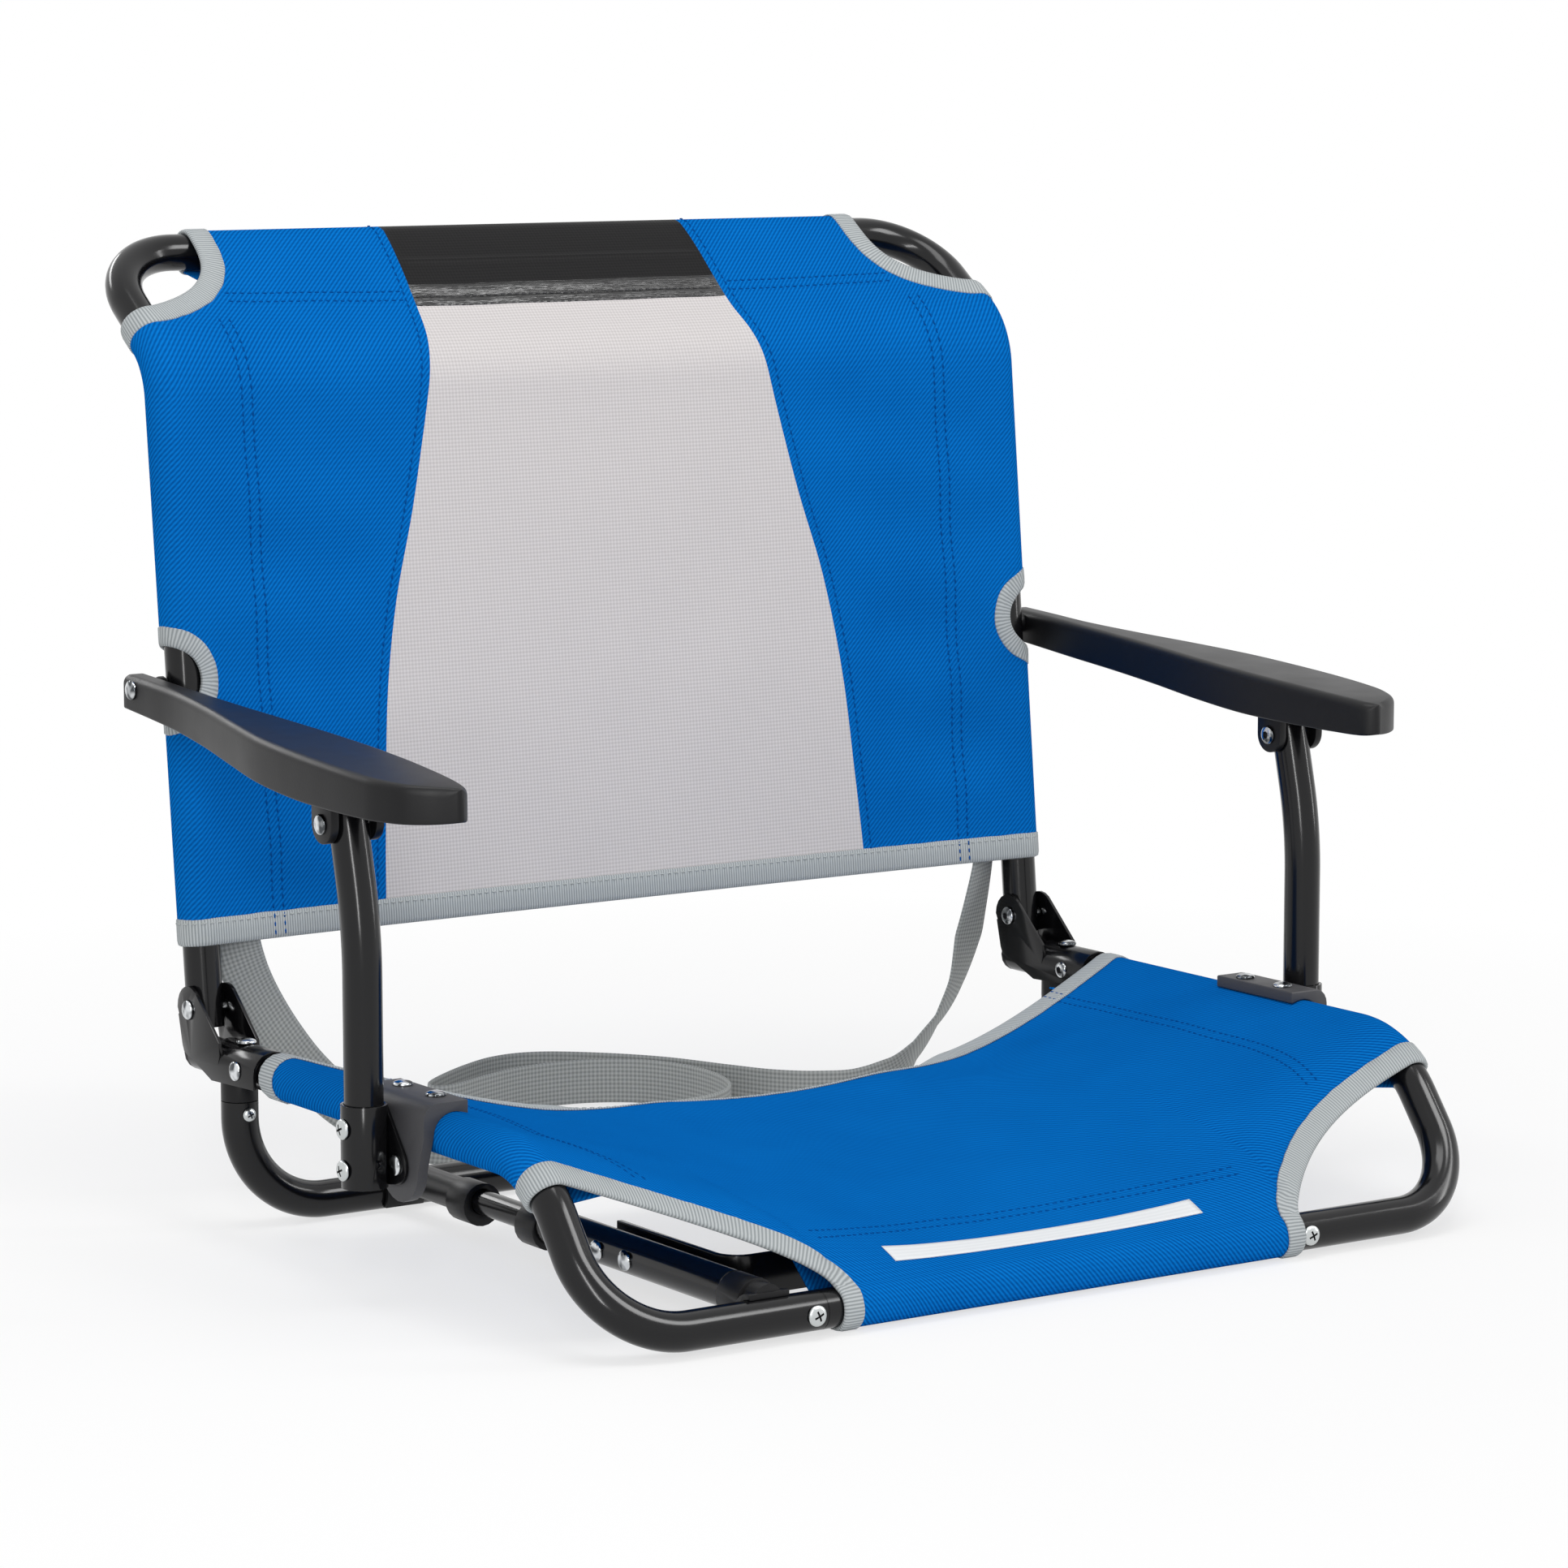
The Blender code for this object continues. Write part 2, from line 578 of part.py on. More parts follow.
for word, sign in SIDES:
    hub = spot(sign * (RAIL_X + ARM_CUTOUT_OUT), ARM_REAR[0] + 3 * TUBE_D, ARM_REAR[1] + ARM_CUTOUT_RISE)
    oval = [hub + Vector((ARM_CUTOUT_W / 2 * math.cos(angle), 0.0, ARM_CUTOUT_H / 2 * math.sin(angle)))
            for angle in steps_between(0.0, math.tau, 24)[:-1]]
    combine(back_cover, "DIFFERENCE", prism_mesh(oval, Vector((0.0, 6 * TUBE_D, 0.0))))

# Seat cover: a sagging sheet sewn round the rails and the front bar
rail_corners = [spot(0, SEAT_REAR_AHEAD, RAIL_Z), spot(0, RAIL_BEND_AHEAD, RAIL_Z),
                spot(0, FRONT_BAR_AHEAD, FRONT_BAR_Z)]
rail_path = bent_path(rail_corners, (RAIL_BEND_R,))
lean_angle = math.atan(2 * SEAT_SAG / RAIL_X)
SEAT_FALL = 3.2
seat_run = FRONT_BAR_AHEAD - SEAT_REAR_AHEAD
front_lean = math.atan(SEAT_FALL * (RAIL_Z - SEAT_SAG - FRONT_BAR_Z) / seat_run)
front_touch = FRONT_BAR_AHEAD + SLEEVE_R * math.sin(front_lean)


def rail_offset(distance, across, rise):
    """Return the point so far out from and above the right rail's axis."""
    center, way = along(rail_path, distance)
    up = Vector((0.0, way.z, -way.y))
    return center + up * rise + Vector((RAIL_X + across, 0.0, 0.0))


def beyond_sleeve(x):
    """Return how far x is on the way from the front sleeve's end to the rail, from 0 to 1."""
    return max(0.0, (abs(x) - FRONT_SLEEVE_HALF) / (panel_half - FRONT_SLEEVE_HALF))


def seat_front(x):
    """Return how far ahead the seat cloth reaches at x, inside the corner cut-outs."""
    return side_front + (front_touch - side_front) * (1.0 - beyond_sleeve(x)) ** 2.65


def seat_middle(ahead):
    """Return the height of the seat's middle line: it falls to the top of the front bar."""
    high = RAIL_Z + SLEEVE_R - SEAT_SAG
    low = FRONT_BAR_Z + SLEEVE_R * math.cos(front_lean)
    share = max(0.0, min(1.0, (ahead - SEAT_REAR_AHEAD) / (front_touch - SEAT_REAR_AHEAD)))
    return high + (low - high) * share ** SEAT_FALL


def seat_point(x, share, edge):
    """Return the panel's point at x: it hangs at the rear and comes down to the front bar's top."""
    reach = (x / panel_half) ** 2
    rear = SEAT_REAR_AHEAD + SEAT_REAR_DIP * (1.0 - reach)
    ahead = rear + (seat_front(x) - rear) * share
    high = RAIL_Z + SLEEVE_R - SEAT_SAG
    rear_z = high + (edge_start.z - high) * reach
    low = FRONT_BAR_Z + SLEEVE_R * math.cos(front_lean)
    front_z = low + (edge_end.z - low) * beyond_sleeve(x) ** 0.7
    rail_fall = (edge_start.z - edge.z) / (edge_start.z - edge_end.z)
    way = (ahead - SEAT_REAR_AHEAD) / (seat_front(x) - SEAT_REAR_AHEAD)
    fall = way ** SEAT_FALL * (1.0 - reach) + rail_fall * reach
    return spot(x, ahead, rear_z + (front_z - rear_z) * fall)


panel_half = RAIL_X - SLEEVE_R * math.sin(lean_angle)
rail_reach = SEAT_SIDE_END - SEAT_REAR_AHEAD
edge_in = -SLEEVE_R * math.sin(lean_angle)
edge_up = SLEEVE_R * math.cos(lean_angle)
edge_start = rail_offset(0.0, edge_in, edge_up)
edge_end = rail_offset(rail_reach, edge_in, edge_up)
side_front = HINGE_Y - edge_end.y
under_layer = CLOTH + 2 * SLEEVE_GAP
seat_columns = steps_between(0.0, FRONT_SLEEVE_HALF, 4)
corner_half = panel_half - FRONT_SLEEVE_HALF
seat_columns += [FRONT_SLEEVE_HALF + corner_half * share for share in (0.04, 0.14, 0.35, 0.65)]
seat_rows = []
for share in steps_between(0.0, 0.78, 5) + steps_between(0.84, 1.0, 8):
    distance = rail_reach * share
    edge = rail_offset(distance, edge_in, edge_up)
    right = [seat_point(x, share, edge) for x in seat_columns]
    flap_rise = SLEEVE_R - SLEEVE_FLAP * math.tan(lean_angle) - 2 * under_layer
    for angle in steps_between(-lean_angle, wrap_end(-SLEEVE_FLAP, flap_rise), 10):
        right.append(rail_offset(distance, SLEEVE_R * math.sin(angle), SLEEVE_R * math.cos(angle)))
    right.append(rail_offset(distance, -SLEEVE_FLAP, flap_rise))
    left = [Vector((-point.x, point.y, point.z)) for point in right[:0:-1]]
    seat_rows.append(left + right)
flap_ahead = FRONT_BAR_AHEAD - SLEEVE_FLAP
flap_z = seat_middle(flap_ahead) - under_layer
bar_turns = [spot(0, FRONT_BAR_AHEAD + SLEEVE_R * math.sin(angle), FRONT_BAR_Z + SLEEVE_R * math.cos(angle))
             for angle in steps_between(front_lean, wrap_end(-SLEEVE_FLAP, flap_z - FRONT_BAR_Z), 9)[1:]]
bar_turns.append(spot(0, flap_ahead, flap_z))
sleeve_columns = [-x for x in seat_columns[4:0:-1]] + seat_columns[:5]
blank = [None] * ((len(seat_rows[0]) - len(sleeve_columns)) // 2)
for turn in bar_turns:
    seat_rows.append(blank + [Vector((x, turn.y, turn.z)) for x in sleeve_columns] + blank)
cloth_part("seat_cover", seat_rows, blue_cloth)

# Arm clamps: moulded saddles hooked over the covered rails, each with a leg for the support's pivot
for word, sign in SIDES:
    rail = Vector((sign * RAIL_X, 0.0, RAIL_Z))
    bore = [(CLAMP_BORE * math.sin(angle), CLAMP_BORE * math.cos(angle))
            for angle in steps_between(-lean_angle, math.pi / 2, 8)]
    lip_drop = (CLAMP_LIP - CLAMP_BORE * math.sin(lean_angle)) * math.tan(lean_angle)
    lip = (-CLAMP_LIP, CLAMP_BORE * math.cos(lean_angle) - lip_drop + FIT)
    foot = SUPPORT_FOOT[1] - CLAMP_FOOT_R - RAIL_Z
    corner = CLAMP_TOP / 2
    crown = [(CLAMP_OUT - corner + corner * math.cos(angle), CLAMP_TOP - corner + corner * math.sin(angle))
             for angle in steps_between(0.0, math.pi / 2, 5)]
    section = [lip] + bore + [(CLAMP_BORE, foot), (CLAMP_OUT, foot)] + crown + [(-CLAMP_LIP, CLAMP_TOP)]
    front_ahead = SUPPORT_FOOT[0] + CLAMP_FRONT
    rear_ahead = SUPPORT_FOOT[0] - CLAMP_REAR
    ring = [rail + Vector((sign * across, HINGE_Y - front_ahead, up)) for across, up in section]
    clamp_run = Vector((0, front_ahead - rear_ahead, 0))
    clamp = add_part(word + "_arm_clamp", prism_mesh(ring, clamp_run), grey_plastic)
    toe = [(SUPPORT_FOOT[0] + CLAMP_FOOT_R * math.sin(angle),
            SUPPORT_FOOT[1] - CLAMP_FOOT_R * math.cos(angle))
           for angle in steps_between(-math.pi / 5, math.pi / 2, 8)]
    side = toe + [(front_ahead, RAIL_Z), (front_ahead + TUBE_R, RAIL_Z + CLAMP_TOP + TUBE_R),
                  (rear_ahead - TUBE_R, RAIL_Z + CLAMP_TOP + TUBE_R), (rear_ahead, RAIL_Z - TUBE_R)]
    side_ring = [spot(sign * RAIL_X - 2 * CLAMP_OUT, ahead, z) for ahead, z in side]
    combine(clamp, "INTERSECT", prism_mesh(side_ring, Vector((4 * CLAMP_OUT, 0, 0))))
    pin_from = spot(sign * RAIL_X, *SUPPORT_FOOT)
    pin_to = spot(sign * (RAIL_X + 2 * CLAMP_OUT), *SUPPORT_FOOT)
    combine(clamp, "DIFFERENCE", rod_mesh(pin_from, pin_to, HOLE_D / 2, 16))
    for place, ahead in (("front", SUPPORT_FOOT[0] + CLAMP_RIVET_NEAR),
                         ("rear", SUPPORT_FOOT[0] + CLAMP_RIVET_NEAR - CLAMP_RIVET_STEP)):
        head_part(word + "_clamp_" + place + "_rivet",
                  spot(sign * RAIL_X, ahead, RAIL_Z + CLAMP_TOP), Vector((0, 0, 1)))
    pin_part(word + "_support_pin", spot(sign * (RAIL_X + CLAMP_BORE), *SUPPORT_FOOT),
             spot(sign * (SUPPORT_X - BRACKET_IN), *SUPPORT_FOOT))

# Arm supports: a bent tube in a wrapped steel bracket whose flange turns on the clamp's pin
bracket_low = SUPPORT_FOOT[1] - BRACKET_LOW
bracket_high = bracket_low + BRACKET_H
for word, sign in SIDES:
    x = sign * SUPPORT_X
    bend_z = ARM_FRONT[1] - SUPPORT_BEND_DROP
    bend = spot(x, SUPPORT_AHEAD, bend_z)
    pivot = spot(x, *ARM_FRONT)
    tip = pivot + (pivot - bend).normalized() * SUPPORT_TOP
    support_path = bent_path([spot(x, SUPPORT_AHEAD, bracket_low + FIT), bend, tip], (SUPPORT_BEND_R,), 0.04)
    support = add_part(word + "_support_tube", tube_mesh(support_path), black_paint)
    across = Vector((TUBE_D, 0.0, 0.0))
    combine(support, "DIFFERENCE", rod_mesh(pivot - across, pivot + across, HOLE_D / 2, 12))
    wrap = add_part(word + "_support_bracket",
                    rod_mesh(spot(x, SUPPORT_AHEAD, bracket_low), spot(x, SUPPORT_AHEAD, bracket_high),
                             BRACKET_OUT), black_paint)
    flange_end = [(SUPPORT_FOOT[0] + FLANGE_R * math.cos(angle), SUPPORT_FOOT[1] + FLANGE_R * math.sin(angle))
                  for angle in steps_between(-math.pi / 2, math.pi / 5, 7)]
    flange = [(SUPPORT_AHEAD, bracket_low)] + flange_end + [(SUPPORT_AHEAD + 2 * MM, bracket_high),
                                                            (SUPPORT_AHEAD, bracket_high)]
    flange_x = sign * (SUPPORT_X - BRACKET_OUT)
    flange_ring = [spot(flange_x, ahead, z) for ahead, z in flange]
    combine(wrap, "UNION", prism_mesh(flange_ring, Vector((sign * (BRACKET_OUT - BRACKET_IN), 0, 0))))
    combine(wrap, "DIFFERENCE", rod_mesh(spot(x, SUPPORT_AHEAD, bracket_low - TUBE_D),
                                         spot(x, SUPPORT_AHEAD, bracket_high + TUBE_D), BRACKET_IN))
    combine(wrap, "DIFFERENCE", rod_mesh(spot(flange_x - sign * TUBE_R, *SUPPORT_FOOT),
                                         spot(x, *SUPPORT_FOOT), HOLE_D / 2, 16))
    for place, rise in (("lower", BRACKET_SCREW_LOW), ("upper", BRACKET_SCREW_LOW + BRACKET_SCREW_STEP)):
        head_part(word + "_bracket_" + place + "_screw",
                  spot(sign * (SUPPORT_X + BRACKET_OUT), SUPPORT_AHEAD, bracket_low + rise),
                  Vector((sign, 0, 0)))

# Armrests: moulded, hollow underneath, with a solid rear end and two clevis ears
ARM_STATIONS = (
    # behind the rear pivot (-) or ahead of it, inner x, outer x from the rail, bottom and top from the pivot
    (-9.0, 0.0, 14.5, -8.5, 7.0), (18.0, 0.0, 14.5, -10.7, 5.5), (48.0, -0.5, 15.5, -13.7, 3.5),
    (88.0, -2.0, 21.0, -16.5, 1.0), (128.0, -4.5, 28.5, -20.5, -1.5), (168.0, -7.5, 35.0, -26.5, -4.2),
    (208.0, -9.0, 37.0, -31.5, -6.9), (243.0, -7.5, 34.5, -32.5, -9.3), (273.0, -4.0, 28.5, -32.5, -11.5),
    (293.0, 0.5, 22.5, -32.2, -13.2), (304.0, 6.0, 16.5, -31.7, -14.5), (308.0, 9.0, 13.5, -30.5, -16.0))
ARM_SPAN_DRAWN = 222.0 * MM
arm_base = RAIL_X + TUBE_R + 2 * FIT + SPACER_L


def arm_ring(station, sign, inset=0.0, open_bottom=False):
    """Return one rounded section of the armrest, drawn in by an inset."""
    ahead, inner, outer, low, high = [value * MM for value in station]
    ahead = ARM_REAR[0] + ahead * ARM_LINK_AHEAD / ARM_SPAN_DRAWN
    x0 = arm_base + inner + inset
    x1 = arm_base + outer - inset
    z0 = ARM_REAR[1] + low - (TUBE_D if open_bottom else 0.0)
    z1 = ARM_REAR[1] + high - inset
    ring = []
    for cx, cz, radius, start in ((x1, z1, ARM_TOP_R, 0.0), (x0, z1, ARM_TOP_R, 0.5),
                                  (x0, z0, ARM_LOW_R, 1.0), (x1, z0, ARM_LOW_R, 1.5)):
        radius = min(radius, (x1 - x0) * 0.4)
        mid_x = cx - radius if cx == x1 else cx + radius
        mid_z = cz - radius if cz == z1 else cz + radius
        for step in range(4):
            angle = math.pi * (start + step / 6)
            x = mid_x + radius * math.cos(angle)
            ring.append(spot(sign * x, ahead, mid_z + radius * math.sin(angle)))
    return ring


for word, sign in SIDES:
    arm_rings = [arm_ring(one, sign) for one in ARM_STATIONS]
    armrest = add_part(word + "_armrest", loft_mesh(arm_rings), black_plastic)
    hollow = [one for one in ARM_STATIONS if ARM_POCKET_FROM <= one[0] * MM <= ARM_POCKET_TO]
    combine(armrest, "DIFFERENCE", loft_mesh([arm_ring(one, sign, ARM_WALL, True) for one in hollow]))
    ear_top = ARM_REAR[1] - 8.0 * MM
    ear = [(ARM_FRONT[0] + CLEVIS_R * math.cos(angle), ARM_FRONT[1] + CLEVIS_R * math.sin(angle))
           for angle in steps_between(-math.pi, 0.0, 10)]
    ear += [(ARM_FRONT[0] + CLEVIS_R, ear_top), (ARM_FRONT[0] - CLEVIS_R, ear_top)]
    for side in (-1, 1):
        near_x = SUPPORT_X + side * (TUBE_R + 2 * FIT)
        ring = [spot(sign * near_x, ahead, z) for ahead, z in ear]
        combine(armrest, "UNION", prism_mesh(ring, Vector((sign * side * CLEVIS_EAR, 0, 0))))
    for pivot, middle in ((ARM_REAR, arm_base), (ARM_FRONT, SUPPORT_X)):
        combine(armrest, "DIFFERENCE", rod_mesh(spot(sign * (middle - 2 * TUBE_D), *pivot),
                                                spot(sign * (middle + 2 * TUBE_D), *pivot), HOLE_D / 2, 16))
    arm_out = arm_base + ARM_STATIONS[0][2] * MM
    pin_part(word + "_arm_rear_pin", spot(sign * (RAIL_X - TUBE_R * 0.8), *ARM_REAR),
             spot(sign * arm_out, *ARM_REAR), blind=True)
    ear_face = TUBE_R + 2 * FIT + CLEVIS_EAR
    pin_part(word + "_arm_front_pin", spot(sign * (SUPPORT_X - ear_face), *ARM_FRONT),
             spot(sign * (SUPPORT_X + ear_face), *ARM_FRONT))
    ring_profile = [(HOLE_D / 2, FIT), (SPACER_D / 2, FIT), (SPACER_D / 2, FIT + SPACER_L),
                    (HOLE_D / 2, FIT + SPACER_L), (HOLE_D / 2, FIT)]
    spacer = turned_mesh(spot(sign * (RAIL_X + TUBE_R), *ARM_REAR), Vector((sign, 0, 0)), ring_profile)
    add_part(word + "_arm_spacer", spacer, black_plastic)

# Bench hook: a fixed rod between the bars, and a sleeve that slides and turns on it with a steel hook plate
rod_from = REAR_LEG_AHEAD + TUBE_R + 2 * FIT
rod_to = FRONT_BAR_AHEAD - TUBE_R - 2 * FIT
rod = rod_mesh(spot(HOOK_X, rod_from, HOOK_Z), spot(HOOK_X, rod_to, HOOK_Z), ROD_D / 2)
add_part("hook_rod", rod, black_paint)


def socket(name, bar_ahead, bar_z, end, cradle=False):
    """Make a moulded socket on a cross bar for the rod's end: a clip, or a cradle behind the bar."""
    half = Vector((SOCKET_CLIP_L / 2, 0.0, 0.0))
    bar = spot(HOOK_X, bar_ahead, bar_z)
    toward = math.copysign(1.0, end - bar_ahead)
    part = add_part(name, rod_mesh(bar - half, bar + half, SOCKET_CLIP_D / 2), black_plastic)
    combine(part, "UNION", rod_mesh(spot(HOOK_X, bar_ahead, HOOK_Z), spot(HOOK_X, end, HOOK_Z), SOCKET_D / 2))
    combine(part, "UNION", rod_mesh(spot(HOOK_X, end - toward * BUSH_L, HOOK_Z - LOBE_DROP),
                                    spot(HOOK_X, end, HOOK_Z - LOBE_DROP), LOBE_D / 2))
    combine(part, "DIFFERENCE", rod_mesh(bar - 2 * half, bar + 2 * half, TUBE_R + FIT))
    combine(part, "DIFFERENCE", rod_mesh(spot(HOOK_X, bar_ahead + toward * TUBE_R, HOOK_Z),
                                         spot(HOOK_X, end + toward * TUBE_D, HOOK_Z), ROD_D / 2 + FIT))
    low = Vector((HOOK_X - SOCKET_CLIP_D, bar.y - SOCKET_CLIP_D, bar_z - 2 * SOCKET_CLIP_D))
    high = Vector((HOOK_X + SOCKET_CLIP_D, bar.y + SOCKET_CLIP_D, bar_z - TUBE_R * 0.75))
    combine(part, "DIFFERENCE", box_mesh(low, high))
    if cradle:
        front = bar - Vector((SOCKET_CLIP_D, SOCKET_CLIP_D, SOCKET_CLIP_D))
        axis = bar + Vector((SOCKET_CLIP_D, -SOCKET_CLIP_OPEN, SOCKET_CLIP_D))
        combine(part, "DIFFERENCE", box_mesh(front, axis))


socket("hook_rear_socket", REAR_LEG_AHEAD, FACET_R, REAR_SOCKET_END)
socket("hook_front_socket", FRONT_BAR_AHEAD, FRONT_BAR_Z, SLEEVE_TO + 2 * FIT, cradle=True)
rod_hole = ROD_D / 2 + FIT
bush = add_part("hook_bush", rod_mesh(spot(HOOK_X, SLEEVE_FROM - BUSH_L, HOOK_Z - LOBE_DROP),
                                      spot(HOOK_X, SLEEVE_FROM - FIT, HOOK_Z - LOBE_DROP), LOBE_D / 2),
                black_plastic)
combine(bush, "DIFFERENCE", rod_mesh(spot(HOOK_X, SLEEVE_FROM - 2 * BUSH_L, HOOK_Z),
                                     spot(HOOK_X, SLEEVE_FROM + BUSH_L, HOOK_Z), rod_hole))
sleeve_profile = [(rod_hole, 0.0), (SLEEVE_D / 2, 0.0), (SLEEVE_D / 2, SLEEVE_TO - SLEEVE_FROM),
                  (rod_hole, SLEEVE_TO - SLEEVE_FROM), (rod_hole, 0.0)]
hook_sleeve = turned_mesh(spot(HOOK_X, SLEEVE_FROM, HOOK_Z), Vector((0, -1, 0)), sleeve_profile, 20)
add_part("hook_sleeve", hook_sleeve, black_paint)
tang_x = HOOK_X + SLEEVE_D / 2 + FIT + HOOK_PLATE_T / 2
arm_end = tang_x + HOOK_ARM_L
hook_corners = [spot(tang_x, HOOK_TANG_FROM, HOOK_Z), spot(tang_x, HOOK_ARM_AHEAD, HOOK_Z),
                spot(arm_end, HOOK_ARM_AHEAD, HOOK_Z), spot(arm_end, HOOK_ARM_AHEAD - HOOK_TOE_L, HOOK_Z)]
hook_line = bent_path(hook_corners, (HOOK_BEND_R, HOOK_BEND_R))
inner_side = []
outer_side = []
for index, point in enumerate(hook_line):
    run = hook_line[min(index + 1, len(hook_line) - 1)] - hook_line[max(index - 1, 0)]
    across = Vector((run.y, -run.x, 0.0)).normalized() * HOOK_PLATE_T / 2
    drop = Vector((0.0, 0.0, HOOK_TANG_H / 2))
    inner_side.append(point + across - drop)
    outer_side.append(point - across - drop)
add_part("hook_plate", prism_mesh(inner_side + outer_side[::-1], Vector((0, 0, HOOK_TANG_H))), black_paint)
for place, ahead in (("rear", HOOK_RIVET_AHEAD), ("front", HOOK_RIVET_AHEAD + HOOK_RIVET_STEP)):
    head_part("hook_" + place + "_rivet", spot(HOOK_X - SLEEVE_D / 2, ahead, HOOK_Z), Vector((-1, 0, 0)))

# Carry strap: webbing sewn behind the back's hem at both ends and dropped on the bench in an S
# Each point is x, ahead, height and the run's heading in degrees, in millimetres from the hinge line
STRAP_ROUTE = (
    (-236.5, -6.6, 152, -29), (-236.5, -6.2, 138, -29), (-229, -10.5, 121, -12), (-217.5, -16, 103, -3),
    (-203, -20.5, 83, 0), (-185, -24.5, 62, 0), (-162, -27, 41.5, 0), (-135, -27.5, 25.5, -2),
    (-106, -24.5, 16, -7), (-66, -17, 13.5, -10), (-20, -10, 13.5, -7), (24, -5.5, 13.5, 0),
    (57, -9, 13.5, 20), (80, -27, 13.5, 56), (90.5, -55, 13.5, 80), (90, -86, 13.5, 104),
    (77, -114, 13.5, 134), (50, -131, 13.5, 163), (15, -134, 13.5, 184), (-17, -124.5, 13.5, 198),
    (-42, -113, 13.5, 200), (-55, -112, 13.5, 150), (-56.5, -121, 13.5, 90), (-44, -134, 13.5, 48),
    (-14, -155, 13.5, 34), (14, -168, 13.5, 12), (40, -166, 13.5, -20), (67, -145, 13.5, -44),
    (92, -113, 13.5, -56), (110, -73, 13.5, -66), (123, -47, 13.5, -53), (141, -30, 13.5, -32),
    (163, -22, 14, -14), (184, -19.5, 20, 8), (200, -19.5, 33, 34), (215, -20, 48.5, 52),
    (228, -19.5, 69, 38), (234, -15.5, 97, 18), (236.5, -6.2, 138, 29), (236.5, -6.6, 152, 29))
STRAP_SPAN_DRAWN = 258.5
strap_unit = RAIL_X / STRAP_SPAN_DRAWN


def smooth_between(values, share):
    """Return a Catmull-Rom value at a share of the way through a list."""
    place = share * (len(values) - 1)
    index = min(int(place), len(values) - 2)
    t = place - index
    before = values[max(index - 1, 0)]
    one = values[index]
    two = values[index + 1]
    after = values[min(index + 2, len(values) - 1)]
    return 0.5 * (2 * one + (two - before) * t + (2 * before - 5 * one + 4 * two - after) * t ** 2
                  + (3 * one - before - 3 * two + after) * t ** 3)


centers = [spot(x * strap_unit, ahead * MM, z * MM) for x, ahead, z, heading in STRAP_ROUTE]
headings = [math.radians(heading) for x, ahead, z, heading in STRAP_ROUTE]
strap_rings = []
STRAP_STEPS = 132
for step in range(STRAP_STEPS + 1):
    share = step / STRAP_STEPS
    center = smooth_between(centers, share)
    before = smooth_between(centers, max(share - 0.003, 0.0))
    after = smooth_between(centers, min(share + 0.003, 1.0))
    way = (after - before).normalized()
    heading = smooth_between(headings, share)
    face = Vector((-math.sin(heading), math.cos(heading), 0.0))
    face = (face - way * face.dot(way)).normalized()
    wide = face.cross(way)
    strap_rings.append([center + wide * (STRAP_W / 2 * a) + face * (STRAP_T / 2 * b)
                        for a, b in ((-1, -1), (1, -1), (1, 1), (-1, 1))])
add_part("carry_strap", loft_mesh(strap_rings), grey_webbing)
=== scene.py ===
import math

import bmesh
import bpy
from mathutils import Matrix, Vector, noise


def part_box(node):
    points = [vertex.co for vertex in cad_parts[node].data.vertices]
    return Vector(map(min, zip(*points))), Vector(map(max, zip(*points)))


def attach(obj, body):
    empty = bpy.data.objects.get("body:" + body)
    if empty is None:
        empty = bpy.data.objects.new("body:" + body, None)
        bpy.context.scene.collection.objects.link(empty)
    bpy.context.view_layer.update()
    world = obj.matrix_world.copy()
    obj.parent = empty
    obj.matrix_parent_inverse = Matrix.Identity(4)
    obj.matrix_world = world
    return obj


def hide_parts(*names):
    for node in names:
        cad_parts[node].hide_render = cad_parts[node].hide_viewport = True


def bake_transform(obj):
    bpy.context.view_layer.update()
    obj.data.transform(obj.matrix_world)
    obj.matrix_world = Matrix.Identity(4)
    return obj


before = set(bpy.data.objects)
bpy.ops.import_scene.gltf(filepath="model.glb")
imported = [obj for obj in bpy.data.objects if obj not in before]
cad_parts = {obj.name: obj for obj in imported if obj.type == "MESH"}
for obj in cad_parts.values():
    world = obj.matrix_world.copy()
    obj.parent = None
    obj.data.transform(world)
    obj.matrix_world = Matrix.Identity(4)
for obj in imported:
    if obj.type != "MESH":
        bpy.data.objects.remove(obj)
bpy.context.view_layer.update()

# Studio. A plain pale floor that keeps the shadow, wide soft lamps over and beside the chair, and
# the camera where the photograph was taken: low, in front of the chair's left side in the picture.
scene = bpy.context.scene
scene.view_settings.view_transform = "Standard"


def linear(code):
    """Turn an sRGB hex colour into linear RGBA."""
    parts = [int(code[place:place + 2], 16) / 255 for place in (1, 3, 5)]
    return (*[part / 12.92 if part <= 0.04045 else ((part + 0.055) / 1.055) ** 2.4 for part in parts], 1.0)


def add_node(tree, kind, inputs=None, feeds=None, **settings):
    """Add a node with its settings; inputs get values or other nodes' sockets, outputs feed sockets."""
    made = tree.nodes.new(kind)
    for name, value in settings.items():
        setattr(made, name, value)
    for name, value in (inputs or {}).items():
        if isinstance(value, bpy.types.NodeSocket):
            tree.links.new(value, made.inputs[name])
        else:
            made.inputs[name].default_value = value
    for name, socket in (feeds or {}).items():
        tree.links.new(made.outputs[name], socket)
    return made


def camera_sees(tree):
    """Return a socket that is 1 for what the camera, a mirror or a glass sees directly."""
    path = add_node(tree, "ShaderNodeLightPath")
    mirrored = add_node(tree, "ShaderNodeMath", {0: path.outputs["Is Glossy Ray"],
                                                 1: path.outputs["Is Transmission Ray"]}, operation="MAXIMUM")
    return add_node(tree, "ShaderNodeMath", {0: path.outputs["Is Camera Ray"], 1: mirrored.outputs[0]},
                    operation="MAXIMUM").outputs[0]


